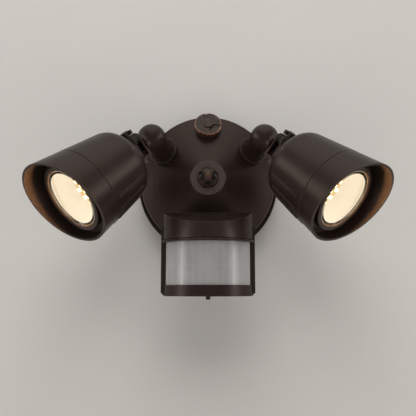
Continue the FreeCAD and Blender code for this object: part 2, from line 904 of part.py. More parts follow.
def stirrup(label, sizes, frame):
    """A U-shaped fork bent from strip, with a wide bend at the knob, round tips and the screw's and rivet's holes."""
    lower, upper = sizes.fork_lower_gap, sizes.fork_upper_gap
    lower_side, upper_side = lower + sizes.fork_thickness, upper + sizes.fork_thickness
    floor = -(sizes.fork_floor)
    base = floor - sizes.fork_thickness
    body = new_body(label)
    profile = outline(
        new_sketch(body, "XZ_Plane"),
        [
            (-lower_side, base),
            (upper_side, base),
            (upper_side, sizes.fork_tip),
            (upper, sizes.fork_tip),
            (upper, floor),
            (-lower, floor),
            (-lower, sizes.fork_tip),
            (-lower_side, sizes.fork_tip),
        ],
    )
    pad_both_ways(body, profile, sizes.fork_width)
    cut_through(body, circle(new_sketch(body, "YZ_Plane"), 0, 0, sizes.pivot_radius + S.pin_gap))
    hole = circle(new_sketch(body, "XY_Plane"), 0, 0, sizes.rivet_radius + S.pin_gap)
    extrude(body, hole, base - sizes.fork_thickness, floor + sizes.fork_thickness, cut=True)
    half = sizes.fork_width.value / 2
    inner_bend = sizes.fork_upper_bend - sizes.fork_thickness
    round_edges(body, sizes.fork_bend, lambda p: same(p.x, -lower_side.value) and same(p.z, base.value))
    round_edges(body, sizes.fork_upper_bend, lambda p: same(p.x, upper_side.value) and same(p.z, base.value))
    round_edges(body, inner_bend, lambda p: same(p.x, upper.value) and same(p.z, floor.value))
    round_edges(
        body,
        sizes.fork_tip_round,
        lambda p: same(p.z, sizes.fork_tip.value) and same(abs(p.y), half),
    )
    body.Placement = frame
    return body


def stirrup_rivet(label, sizes, frame):
    """The hollow rivet: its flange lies on the fork's floor and its shank turns in the ball."""
    floor = -(sizes.fork_floor)
    tail = floor - sizes.fork_thickness - S.turning_gap - sizes.rivet_depth + S.turning_gap
    corners = [
        (sizes.rivet_bore_radius, tail),
        (sizes.rivet_radius, tail),
        (sizes.rivet_radius, floor),
        (sizes.rivet_flange_radius, floor),
        (sizes.rivet_flange_radius, floor + sizes.rivet_flange),
        (sizes.rivet_bore_radius, floor + sizes.rivet_flange),
    ]
    return turned_piece(label, corners, frame)


def clamp_knob(label, sizes, frame):
    """A lobed knob on the head of the clamp screw."""
    foot = sizes.fork_upper_gap + sizes.fork_thickness + S.knob_washer
    top = foot + sizes.knob_height
    bore = sizes.pivot_radius + S.fit_gap
    core = sizes.knob_core_radius
    body = new_body(label)
    revolve(
        body,
        [
            (bore, foot),
            (core, foot),
            (core, top),
            (core / 2, top + sizes.knob_dome),
            (0, top + sizes.knob_dome),
            (0, top - sizes.knob_dome),
            (bore, top - sizes.knob_dome),
        ],
    )
    lobe = extrude(body, circle(new_sketch(body, "XY_Plane"), core, 0, sizes.knob_lobe_radius), foot, top)
    polar_pattern(body, lobe, S.knob_lobes, 360)
    body.Placement = clamp_frame(frame)
    return body


def knuckle_pieces(side_name, sizes, frame):
    """The fork with its rivet, clamp knob, pivot screw and nut."""
    nut_low = -(sizes.fork_lower_gap + sizes.fork_thickness + sizes.pivot_nut_height)
    screw_low = nut_low - S.pivot_screw_end
    knob_foot = sizes.fork_upper_gap + sizes.fork_thickness + S.knob_washer
    screw_high = knob_foot + sizes.knob_height - sizes.knob_dome - S.fit_gap
    clamp = clamp_frame(frame)
    bore = sizes.pivot_radius + S.pin_gap
    return [
        stirrup(f"{side_name}_stirrup", sizes, frame),
        stirrup_rivet(f"{side_name}_stirrup_rivet", sizes, frame),
        clamp_knob(f"{side_name}_clamp_knob", sizes, frame),
        disc_piece(f"{side_name}_pivot_screw", sizes.pivot_radius, screw_low, screw_high, clamp),
        hex_nut(f"{side_name}_pivot_nut", sizes.pivot_nut_radius, sizes.pivot_nut_height, bore, along(clamp, nut_low)),
    ]


def lock_nut(label, sizes, frame):
    """The conduit nut that holds an elbow's nipple from inside the canopy."""
    low = -(S.boss_depth + sizes.lock_nut_height + S.turning_gap)
    return hex_nut(label, sizes.lock_nut_radius, sizes.lock_nut_height, sizes.thread_radius + S.thread_gap, along(frame, low))


# ---------------------------------------------------------------- lamp heads


def housing(name, side, frame):
    """The rear shell: hub, tongue, tail ring, shoulder, tapered wall with ribs and the spigot for the hood."""
    spigot_end = S.seam_distance + S.spigot_length
    inner = S.spigot_radius - S.spigot_wall
    ledge = S.board_distance - S.spreader_thickness
    turn = -side * S.rib_azimuth.value
    body = new_body(f"{name}_housing")
    revolve(
        body,
        [
            (0, S.tail_distance),
            (S.tail_radius, S.tail_distance),
            (S.crown_radius, S.crown_distance),
            (S.shoulder_radius, S.shoulder_distance, S.shoulder_round, 1),
            (S.seam_radius, S.seam_distance),
            (S.spigot_radius, S.seam_distance),
            (S.spigot_radius, spigot_end),
            (inner, spigot_end),
            (inner, ledge),
            (inner - S.spreader_thickness, ledge),
            (S.cavity_radius, S.cavity_floor),
            (0, S.cavity_floor),
        ],
    )
    low = S.hub_offset - (S.fork_lower_gap - S.side_gap)
    high = S.hub_offset + (S.fork_upper_gap - S.side_gap)
    shoulder = S.hub_offset + S.hub_collar_start
    tongue = rectangle(new_sketch(body, "XY_Plane"), low, shoulder, -S.hub_radius, S.hub_radius)
    extrude(body, tongue, 0, S.tail_distance + 1)
    extrude(body, circle(new_sketch(body, "YZ_Plane"), 0, 0, S.hub_radius), low, shoulder)
    extrude(body, circle(new_sketch(body, "YZ_Plane"), 0, 0, S.hub_collar_radius), low, high)
    cut_through(body, circle(new_sketch(body, "YZ_Plane"), 0, 0, S.pivot_radius + S.pin_gap))
    rib = outline(
        new_sketch(body, "XZ_Plane", turn + 180 - S.rib_spread.value / 2),
        [
            (S.shoulder_radius - S.rib_height, S.shoulder_distance + S.rib_start_gap),
            (S.seam_radius - S.rib_height, S.seam_distance - S.rib_end_gap),
            (S.seam_radius + S.rib_height / 2, S.seam_distance - S.rib_end_gap),
            (S.shoulder_radius + S.rib_height * 0.9, S.shoulder_distance + S.rib_start_gap),
        ],
    )
    first_rib = pad_both_ways(body, rib, S.rib_width)
    polar_pattern(body, first_rib, S.rib_count, S.rib_spread)
    body.Placement = frame
    return body


def hood(name, side, frame):
    """The front shade on the spigot, cut off on a slant so that its long side is the visor."""
    low = S.seam_distance + S.seam_width
    top = S.seam_distance + S.hood_length + S.hood_flare + S.hood_wall
    slope = (S.seam_radius - S.shoulder_radius) / (S.seam_distance - S.shoulder_distance)
    outer_top = S.seam_radius + slope * (top - S.seam_distance)
    floor_low = S.seam_distance + S.spigot_length + S.fit_gap
    floor_top = floor_low + S.hood_floor
    inner = S.spigot_radius + S.fit_gap
    hole = S.bezel_radius + S.fit_gap
    body = new_body(f"{name}_hood")
    revolve(
        body,
        [
            (inner, low),
            (S.seam_radius, low),
            (outer_top, top),
            (outer_top - S.hood_wall, top),
            (S.hood_floor_radius, floor_top),
            (hole, floor_top),
            (hole, floor_low),
            (inner, floor_low),
        ],
    )
    middle = S.seam_distance + S.hood_length
    reach = outer_top * 2
    rise = reach * tangent(S.visor_slant)
    above = outline(
        new_sketch(body, "XZ_Plane", -side * S.visor_azimuth.value),
        [(-reach, middle - rise), (reach, middle + rise), (reach, top * 2), (-reach, top * 2)],
    )
    cut_through(body, above)
    body.Placement = frame
    return body


def bezel(name, frame):
    """The ring in the hood's floor that holds the lens from in front."""
    flange_top = S.seam_distance + S.spigot_length
    low = flange_top - S.bezel_flange * 2
    inner = S.bezel_radius - S.bezel_wall
    back = S.bezel_front - S.bezel_lip
    corners = [
        (inner, low),
        (S.bezel_radius + S.bezel_flange, low),
        (S.bezel_radius + S.bezel_flange, flange_top),
        (S.bezel_radius, flange_top),
        (S.bezel_radius, S.bezel_front - S.bezel_lip / 2),
        (S.bezel_radius - S.bezel_lip / 2, S.bezel_front),
        (S.bezel_opening + S.bezel_lip, S.bezel_front),
        (S.bezel_opening, back),
        (inner, back),
    ]
    return turned_piece(f"{name}_bezel", corners, frame)


def reflector(name, frame, top):
    """A conical reflector that stands on the board and carries the lens's gasket."""
    foot = S.board_distance + S.board_thickness
    rim = S.bezel_radius - S.bezel_wall - S.fit_gap
    wall = S.reflector_wall
    corners = [
        (S.reflector_throat, foot),
        (S.reflector_throat + wall, foot),
        (rim - wall, top - S.reflector_rim),
        (rim, top - S.reflector_rim),
        (rim, top),
        (rim - S.lens_gasket_width, top),
    ]
    return turned_piece(f"{name}_reflector", corners, frame)


def led_chips(name, frame):
    """A ring of square light sources on the board, one solid each."""
    foot = S.board_distance + S.board_thickness
    chips = []
    for index in range(int(S.chip_count.value)):
        chip = DOC.addObject("Part::Box", f"{name}_chip")
        bind(chip, "Length", S.chip_size)
        bind(chip, "Width", S.chip_size)
        bind(chip, "Height", S.chip_height)
        turn = Rotation(Vector(0, 0, 1), 360 * index / S.chip_count.value)
        corner = Vector(S.chip_ring_radius.value - S.chip_size.value / 2, -S.chip_size.value / 2, foot.value)
        chip.Placement = Placement(Vector(), turn) * Placement(corner, Rotation())
        chips.append(chip)
    group = DOC.addObject("Part::Compound", f"{name}_led_chips")
    group.Links = chips
    group.Placement = frame
    return group


def driver(name, frame):
    """The potted driver block on the back of the heat spreader."""
    foot = S.board_distance - S.spreader_thickness - S.driver_height
    block = DOC.addObject("Part::Box", f"{name}_driver")
    bind(block, "Length", S.driver_length)
    bind(block, "Width", S.driver_width)
    bind(block, "Height", S.driver_height)
    corner = Vector(-S.driver_length.value / 2, -S.driver_width.value / 2, foot.value)
    block.Placement = frame * Placement(corner, Rotation())
    return block


def head_pieces(name, side, frame):
    lens_back = S.bezel_front - S.bezel_lip - S.lens_thickness
    gasket_back = lens_back - S.lens_gasket_thickness
    edge = S.bezel_radius - S.bezel_wall - S.fit_gap
    board_top = S.board_distance + S.board_thickness
    ledge = S.board_distance - S.spreader_thickness
    spreader_edge = S.spigot_radius - S.spigot_wall - S.fit_gap
    return [
        housing(name, side, frame),
        hood(name, side, frame),
        bezel(name, frame),
        disc_piece(f"{name}_lens", edge, lens_back, lens_back + S.lens_thickness, frame),
        tube_piece(f"{name}_lens_gasket", edge - S.lens_gasket_width, edge, gasket_back, lens_back, frame),
        reflector(name, frame, gasket_back),
        disc_piece(f"{name}_led_board", S.board_radius, S.board_distance, board_top, frame),
        led_chips(name, frame),
        disc_piece(f"{name}_heat_spreader", spreader_edge, ledge, S.board_distance, frame),
        driver(name, frame),
    ]


# ---------------------------------------------------------------- sensor


def d_shape(sketch, half_width, bulge, rear):
    """A straight back, short sides to the corner line and a front that bulges in one arc."""
    corner = -S.sensor_corner
    radius = (half_width * half_width + bulge * bulge) / (bulge * 2)
    return outline(
        sketch,
        [
            (-half_width, rear),
            (-half_width, corner),
            (0, corner - bulge, radius, 1),
            (half_width, corner, radius, 1),
            (half_width, rear),
        ],
    )


def sensor_back(frame):
    """The rear housing: a shallow box with its hub, web, cavity, screw holes and two small feet."""
    rear = -S.sensor_rear
    front = rear - S.sensor_back_depth
    half = S.sensor_back_half_width
    low, high = -S.sensor_back_bottom, S.sensor_back_top
    wall = S.sensor_wall
    body = new_body("sensor_back")
    extrude(body, rectangle(new_sketch(body, "XY_Plane"), -half, half, front, rear), low, high)
    round_edges(body, S.sensor_back_round, lambda p: same(abs(p.x), half.value) and same(p.y, rear.value))
    foot_low = low - S.sensor_foot_height
    for sign in (-1, 1):
        near, far = sorted([sign * (half - S.sensor_foot_size), sign * (half - 1)], key=lambda part: part.value)
        foot = rectangle(new_sketch(body, "XY_Plane"), near, far, rear - S.sensor_foot_size, rear - 1)
        extrude(body, foot, foot_low, low + 1)
    cavity = rectangle(new_sketch(body, "XY_Plane"), -half + wall * 2, half - wall * 2, front - 1, rear - wall)
    extrude(body, cavity, low + wall * 3, high - wall, cut=True)
    hub_half = S.sensor_fork_lower_gap - S.side_gap
    pad_both_ways(body, circle(new_sketch(body, "YZ_Plane"), 0, 0, S.sensor_hub_radius), hub_half * 2)
    web = rectangle(new_sketch(body, "XY_Plane"), -hub_half, hub_half, rear - wall / 2, 0)
    pad_both_ways(body, web, S.sensor_web_height)
    cut_through(body, circle(new_sketch(body, "YZ_Plane"), 0, 0, S.sensor_pivot_radius + S.pin_gap))
    holes = new_sketch(body, "XZ_Plane")
    for x in (-S.sensor_screw_spread, S.sensor_screw_spread):
        for z in (S.sensor_screw_top, -S.sensor_screw_bottom):
            circle(holes, x, z, S.sensor_screw_radius + S.fit_gap)
    cut_through(body, holes)
    body.Placement = frame
    return body


def sensor_hood(frame):
    """The upper front housing: a sloped top, an upright front and a lip above the window."""
    rear = -(S.sensor_rear + S.sensor_back_depth + S.fit_gap)
    seam = S.sensor_hood_seam
    lip = seam - S.sensor_lip_height
    body = new_body("sensor_hood")
    upper = d_shape(new_sketch(body, "XY_Plane"), S.sensor_hood_half_width, S.sensor_hood_bulge, rear)
    extrude(body, upper, seam, S.sensor_hood_crest)
    slope = tangent(S.sensor_hood_slope)
    reach = S.sensor_corner + S.sensor_hood_bulge * 2
    wedge = outline(
        new_sketch(body, "YZ_Plane"),
        [
            (rear, S.sensor_hood_crest),
            (rear, S.sensor_hood_crest * 2),
            (-reach, S.sensor_hood_crest * 2),
            (-reach, S.sensor_hood_crest - (reach + rear) * slope),
        ],
    )
    cut_through(body, wedge)
    over = S.sensor_lip_overhang
    extrude(
        body,
        d_shape(new_sketch(body, "XY_Plane"), S.sensor_hood_half_width + over, S.sensor_hood_bulge + over / 2, rear),
        lip,
        seam,
    )
    window = S.fresnel_half_width + S.fit_gap
    recess = d_shape(new_sketch(body, "XY_Plane"), window, S.fresnel_bulge + S.fit_gap, rear + 1)
    extrude(body, recess, lip - 1, lip + S.sensor_hood_recess, cut=True)
    pilot_holes(body, S.sensor_screw_top)
    body.Placement = frame
    return body


def pilot_holes(body, height):
    """The blind holes that the housing screws cut their thread in."""
    depth = S.sensor_rear + S.sensor_screw_grip
    sketch = new_sketch(body, "XZ_Plane")
    for x in (-S.sensor_screw_spread, S.sensor_screw_spread):
        circle(sketch, x, height, S.sensor_screw_radius + S.fit_gap)
    extrude(body, sketch, 0, depth, cut=True)


def sensor_base(frame):
    """The lower front band with its floor, window groove and the dial's hole."""
    rear = -(S.sensor_rear + S.sensor_back_depth + S.fit_gap)
    top = -S.sensor_base_top
    bottom = top - S.sensor_base_height
    groove = top - S.fresnel_engagement - S.fit_gap
    body = new_body("sensor_base")
    outer = d_shape(new_sketch(body, "XY_Plane"), S.sensor_base_half_width, S.sensor_base_bulge, rear)
    extrude(body, outer, bottom, top)
    window = S.fresnel_half_width + S.fit_gap
    extrude(
        body,
        d_shape(new_sketch(body, "XY_Plane"), window, S.fresnel_bulge + S.fit_gap, rear + 1),
        groove,
        top + 1,
        cut=True,
    )
    well = rectangle(
        new_sketch(body, "XY_Plane"),
        -S.sensor_base_well,
        S.sensor_base_well,
        -(S.sensor_corner + S.sensor_base_bulge / 2),
        rear + 1,
    )
    extrude(body, well, bottom + S.sensor_base_floor, top + 1, cut=True)
    hole = circle(new_sketch(body, "XY_Plane"), 0, -S.dial_place, S.dial_radius + S.pin_gap)
    extrude(body, hole, bottom - 1, top, cut=True)
    pilot_holes(body, -S.sensor_screw_bottom)
    body.Placement = frame
    return body


def fresnel_lens(frame):
    """The curved window: a thin upright wall that follows the D shape."""
    rear = -(S.sensor_rear + S.sensor_back_depth + S.fit_gap)
    low = -(S.sensor_base_top + S.fresnel_engagement)
    high = S.sensor_hood_seam - S.sensor_lip_height + S.fresnel_engagement
    wall = S.fresnel_wall
    body = new_body("fresnel_lens")
    extrude(
        body,
        d_shape(new_sketch(body, "XY_Plane"), S.fresnel_half_width, S.fresnel_bulge, rear),
        low,
        high,
    )
    inside = d_shape(new_sketch(body, "XY_Plane"), S.fresnel_half_width - wall, S.fresnel_bulge - wall, rear + 1)
    extrude(body, inside, low - 1, high + 1, cut=True)
    body.Placement = frame
    return body


def sensor_board(frame):
    rear = -(S.sensor_rear + S.sensor_wall)
    half = S.sensor_board_half_width
    low = -(S.sensor_board_centre + S.sensor_board_half_height)
    high = S.sensor_board_half_height - S.sensor_board_centre
    body = new_body("sensor_board")
    sketch = rectangle(new_sketch(body, "XY_Plane"), -half, half, rear - S.sensor_board_thickness, rear)
    extrude(body, sketch, low, high)
    body.Placement = frame
    return body


def pyro_sensor(frame):
    """The can that sees heat, standing on the board with its window forward."""
    face = S.sensor_rear + S.sensor_wall + S.sensor_board_thickness
    place = make_frame(Vector(0, 0, -S.pyro_drop.value), Vector(0, -1, 0), Vector(1, 0, 0))
    corners = [
        (0, face),
        (S.pyro_radius, face),
        (S.pyro_radius, face + S.pyro_height),
        (0, face + S.pyro_height),
    ]
    return turned_piece("pyro_sensor", corners, frame * place)


def sensor_dial(frame):
    """The small knob under the sensor, kept in the floor by its collar."""
    bottom = -(S.sensor_base_top + S.sensor_base_height)
    floor = bottom + S.sensor_base_floor + S.fit_gap
    body = new_body("sensor_dial")
    revolve(
        body,
        [
            (0, bottom - S.dial_length),
            (S.dial_radius, bottom - S.dial_length),
            (S.dial_radius, floor),
            (S.dial_collar_radius, floor),
            (S.dial_collar_radius, floor + S.dial_collar_height),
            (0, floor + S.dial_collar_height),
        ],
    )
    groove = rectangle(
        new_sketch(body, "XY_Plane"), -S.dial_radius * 2, S.dial_radius * 2, -S.dial_radius / 5, S.dial_radius / 5
    )
    extrude(body, groove, bottom - S.dial_length * 2, bottom - S.dial_length * 0.7, cut=True)
    body.Placement = frame * Placement(Vector(0, -S.dial_place.value, 0), Rotation())
    return body


def sensor_screws(frame):
    """Four pan-head screws that hold the front housing to the back, in one group."""
    screws = []
    for x in (-S.sensor_screw_spread, S.sensor_screw_spread):
        for z in (S.sensor_screw_top, -S.sensor_screw_bottom):
            head_place = Vector(x.value, -S.sensor_rear.value, z.value)
            shank = make_frame(head_place, Vector(0, -1, 0), Vector(1, 0, 0))
            head = make_frame(head_place, Vector(0, 1, 0), Vector(1, 0, 0))
            screws.append(
                fuse(
                    "sensor_screw",
                    [
                        cylinder("screw_shank", S.sensor_screw_radius, S.sensor_screw_grip - S.fit_gap, shank),
                        cylinder("screw_head", S.sensor_screw_head_radius, S.sensor_screw_head_height, head),
                    ],
                )
            )
    group = DOC.addObject("Part::Compound", "sensor_screws")
    group.Links = screws
    group.Placement = frame
    return group


def sensor_pieces(frame):
    return [
        sensor_back(frame),
        sensor_hood(frame),
        sensor_base(frame),
        fresnel_lens(frame),
        sensor_board(frame),
        pyro_sensor(frame),
        sensor_dial(frame),
        sensor_screws(frame),
    ]


# ---------------------------------------------------------------- assembly


def arm_and_head(name, side):
    arm, head = elbow_frame(side), head_frame(side)
    axis = arm.Rotation.multVec(Vector(0, 0, 1))
    bend = math.degrees(axis.getAngle(fork_direction(side)))
    return [
        elbow(f"{name}_elbow", LAMP_KNUCKLE, S.arm_reach, arm, bend),
        lock_nut(f"{name}_lock_nut", LAMP_KNUCKLE, arm),
        *knuckle_pieces(name, LAMP_KNUCKLE, fork_frame(side)),
        *head_pieces(name, side, head),
    ]


def sensor_assembly():
    arm = sensor_elbow_frame()
    axis = arm.Rotation.multVec(Vector(0, 0, 1))
    bend = math.degrees(axis.getAngle(Vector(0, 0, -1)))
    return [
        elbow("sensor_elbow", SENSOR_KNUCKLE, S.sensor_reach, arm, bend),
        lock_nut("sensor_lock_nut", SENSOR_KNUCKLE, arm),
        *knuckle_pieces("sensor", SENSOR_KNUCKLE, sensor_fork_frame()),
        *sensor_pieces(sensor_frame()),
    ]


def check_document():
    for item in DOC.Objects:
        state = [word for word in item.State if word in ("Invalid", "Error")]
        if state:
            raise RuntimeError(f"{item.Label}: {state}")


def write_pieces(pieces):
    os.makedirs("parts", exist_ok=True)
    for piece in pieces:
        shape = piece.Shape
        if shape.isNull() or not shape.isValid():
            raise RuntimeError(f"{piece.Label} has no valid shape")
    for piece in pieces:
        piece.Shape.exportStep(f"parts/{piece.Label}.step")
        box = piece.Shape.BoundBox
        print(f"{piece.Label}: {len(piece.Shape.Solids)} solid, {piece.Shape.Volume:.0f} mm3, "
              f"{box.XLength:.1f} x {box.YLength:.1f} x {box.ZLength:.1f}")


def print_axes():
    """Prints each pivot and axis in metres, for the joints."""
    for name, frame in (
        ("left arm", elbow_frame(-1)),
        ("right arm", elbow_frame(1)),
        ("left fork", fork_frame(-1)),
        ("right fork", fork_frame(1)),
        ("left head", head_frame(-1)),
        ("right head", head_frame(1)),
        ("sensor fork", sensor_fork_frame()),
        ("sensor", sensor_frame()),
    ):
        z_axis = frame.Rotation.multVec(Vector(0, 0, 1))
        x_axis = frame.Rotation.multVec(Vector(1, 0, 0))
        print(name, [[round(part, 6) for part in vector] for vector in (frame.Base / 1000, z_axis, x_axis)])


def main():
    pieces = [canopy_cover(), wall_gasket(), *mounting_pieces(), *closure_pieces()]
    pieces += arm_and_head("left", -1)
    pieces += arm_and_head("right", 1)
    pieces += sensor_assembly()
    DOC.recompute()
    check_document()
    write_pieces(pieces)
    print_axes()


main()
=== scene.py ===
"""Looks for a wall light with two lamp heads and a motion sensor: finishes, optics, studio and camera."""

import math

import bmesh
import bpy
import numpy as np
from bpy.props import FloatProperty, FloatVectorProperty, IntProperty, PointerProperty
from mathutils import Matrix, Vector
from mathutils.bvhtree import BVHTree


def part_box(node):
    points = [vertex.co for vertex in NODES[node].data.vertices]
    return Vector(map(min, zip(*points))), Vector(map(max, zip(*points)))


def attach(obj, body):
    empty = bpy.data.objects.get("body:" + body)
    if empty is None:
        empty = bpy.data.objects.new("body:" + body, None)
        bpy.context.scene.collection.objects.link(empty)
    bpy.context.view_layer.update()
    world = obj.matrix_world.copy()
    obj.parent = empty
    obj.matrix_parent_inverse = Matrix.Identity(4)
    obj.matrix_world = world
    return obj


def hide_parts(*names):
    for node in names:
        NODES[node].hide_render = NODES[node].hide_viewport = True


bl_info = {
    "name": "Motion Sensor Security Light",
    "version": (1, 0, 0),
    "blender": (4, 5, 0),
    "location": "View3D > Sidebar > Security Light",
    "description": "Finishes, lamp optics, sensor window and studio for a wall-mounted security light",
    "category": "Object",
}

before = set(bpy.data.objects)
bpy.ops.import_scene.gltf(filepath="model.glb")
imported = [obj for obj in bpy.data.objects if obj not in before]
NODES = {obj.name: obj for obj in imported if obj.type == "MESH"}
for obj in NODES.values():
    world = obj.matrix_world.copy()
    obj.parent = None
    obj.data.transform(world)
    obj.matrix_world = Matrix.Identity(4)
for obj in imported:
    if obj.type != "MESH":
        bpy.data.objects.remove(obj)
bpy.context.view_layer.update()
SIDES = ("left", "right")
KNUCKLES = (*SIDES, "sensor")
MM = 0.001
# The slightly warm white of the studio lights.
LIGHT_COLOUR = (1.0, 0.975, 0.945)
# Radius of the closure plug's disc and height of the hub on it, in millimetres.
PLUG_RADIUS, PLUG_HUB = 12.2, 1.3
# The small chip in the coat of each lamp housing.
CHIPPED_PLACES = ((-0.05862, -0.09842, 0.01231), (0.05862, -0.09842, 0.01231))


# ---------------------------------------------------------------- settings


def colour_setting(name, description, default):
    """A colour, in linear light."""
    return FloatVectorProperty(
        name=name, description=description, default=default, min=0, max=1, subtype="COLOR"
    )


def share_setting(name, description, default):
    """A share from 0 to 1."""
    return FloatProperty(
        name=name, description=description, default=default, min=0, max=1, subtype="FACTOR"
    )


def length_setting(name, description, default):
    """A length in metres."""
    return FloatProperty(name=name, description=description, default=default, min=0, unit="LENGTH")


def power_setting(name, description, default):
    """A lamp's power in watts."""
    return FloatProperty(name=name, description=description, default=default, min=0, unit="POWER")


class FinishSettings(bpy.types.PropertyGroup):
    """Colours and gloss of the coated, plated and moulded pieces."""

    powder_coat: colour_setting(
        "Powder coat", "Dark bronze of the cast pieces", (0.0155, 0.0086, 0.0063)
    )
    powder_coat_roughness: share_setting("Powder coat roughness", "How matt the powder coat is", 0.34)
    # Edge colour: wear along the edges, and a painted highlight along them.
    edge_wear_and_highlight_colour: colour_setting(
        "Worn edge", "Brown that shows where the coat is rubbed along an edge", (0.105, 0.074, 0.058)
    )
    rubbed_bronze: colour_setting(
        "Rubbed bronze", "Nearly black plating of the cap nut and the plug", (0.030, 0.021, 0.017)
    )
    copper: colour_setting(
        "Copper", "Bare copper tone where the plating is rubbed through", (0.50, 0.24, 0.15)
    )
    sensor_plastic: colour_setting(
        "Sensor plastic", "Bronze plastic of the sensor, knobs and dial", (0.0092, 0.0048, 0.0035)
    )
    sensor_plastic_roughness: share_setting(
        "Sensor plastic roughness", "How matt the moulded plastic is", 0.34
    )


class LampSettings(bpy.types.PropertyGroup):
    """The glowing optics of the two lamp heads."""

    glow: colour_setting("Glow", "Warm white of the lit reflector", (1.0, 0.84, 0.60))
    glow_strength: FloatProperty(
        name="Glow strength",
        description="Brightness of the lit reflector",
        default=0.86,
        min=0,
    )
    chip_strength: FloatProperty(
        name="Chip strength",
        description="Brightness of the LED chips",
        default=4.0,
        min=0,
    )
    chip_count: IntProperty(
        name="LED chips",
        description="Chips in the ring on each LED board",
        default=12,
        min=1,
        max=40,
    )
    chip_ring: length_setting("Chip ring", "Radius of the ring of chips", 14.1 * MM)
    spill_power: power_setting("Spill power", "Light that each lamp throws on its own hood", 0.60)
    ring_count: IntProperty(
        name="Lens rings",
        description="Moulded rings round the edge of each lamp lens",
        default=4,
        min=0,
        max=12,
    )
    ring_pitch: length_setting("Ring pitch", "Distance from one moulded ring to the next", 0.50 * MM)
    ring_height: length_setting("Ring height", "How far the moulded rings stand up", 0.32 * MM)


class WindowSettings(bpy.types.PropertyGroup):
    """The sensor's window of small lenses."""

    plastic: colour_setting("Window plastic", "Milky grey of the sensor window", (0.345, 0.340, 0.342))
    columns: IntProperty(
        name="Columns",
        description="Lens segments side by side round the window",
        default=14,
        min=1,
    )
    split: share_setting(
        "Split height", "Share of the window's height below the line between its two rows", 0.46
    )
    groove_depth: length_setting("Groove depth", "Depth of the lines between lens segments", 0.10 * MM)
    arc_pitch: length_setting("Arc pitch", "Distance between the fine arcs inside a segment", 1.1 * MM)
    arc_depth: length_setting("Arc depth", "Depth of the fine arcs inside a segment", 0.022 * MM)


class StudioSettings(bpy.types.PropertyGroup):
    """Wall, floor, lamps and camera."""

    backdrop: colour_setting("Backdrop", "Pale tone of the wall and floor", (0.80, 0.785, 0.765))
    floor_drop: length_setting("Floor drop", "How far the floor lies below the canopy's centre", 0.42)
    camera_distance: length_setting("Camera distance", "Distance from the wall to the camera", 0.542)
    camera_drop: FloatProperty(
        name="Camera drop",
        description="How far the camera is below the canopy's centre",
        default=0.0985,
        unit="LENGTH",
    )
    camera_pitch: FloatProperty(
        name="Camera pitch",
        description="Upward tilt of the camera",
        default=math.radians(8.1),
        subtype="ANGLE",
        unit="ROTATION",
    )
    softbox_power: power_setting("Side softbox power", "Power of each side softbox", 3.5)
    top_power: power_setting("Top softbox power", "Power of the softbox overhead", 4.4)


# ---------------------------------------------------------------- shader building


class Wire:
    """A shader socket that takes part in arithmetic: each operation adds its Math node."""

    def __init__(self, graph, socket):
        self.graph = graph
        self.socket = socket

    def _math(self, operation, first, second=None):
        inputs = {0: first} if second is None else {0: first, 1: second}
        return self.graph.node("ShaderNodeMath", {"operation": operation}, inputs)

    def __add__(self, other):
        return self._math("ADD", self, other)

    __radd__ = __add__

    def __sub__(self, other):
        return self._math("SUBTRACT", self, other)

    def __rsub__(self, other):
        return self._math("SUBTRACT", other, self)

    def __mul__(self, other):
        return self._math("MULTIPLY", self, other)

    __rmul__ = __mul__

    def sine(self):
        return self._math("SINE", self)

    def root(self):
        return self._math("SQRT", self)

    def between(self, low, high):
        """0 at low and below, 1 at high and above, smooth in between. Low may be the larger."""
        settings = {"interpolation_type": "SMOOTHSTEP"}
        return self.graph.node(
            "ShaderNodeMapRange", settings, {"Value": self, "From Min": low, "From Max": high}
        )


class Graph:
    """The node tree of a material or a world, emptied and built up node by node."""

    def __init__(self, owner):
        owner.use_nodes = True
        self.tree = owner.node_tree
        self.tree.nodes.clear()

    def node(self, kind, settings=None, inputs=None, output=0):
        """Adds one node: its settings first, then the values or links of its sockets."""
        made = self.tree.nodes.new(kind)
        for name, value in (settings or {}).items():
            setattr(made, name, value)
        for key, value in (inputs or {}).items():
            if isinstance(value, Wire):
                self.tree.links.new(value.socket, made.inputs[key])
            else:
                made.inputs[key].default_value = value
        return Wire(self, made.outputs[output]) if len(made.outputs) else None


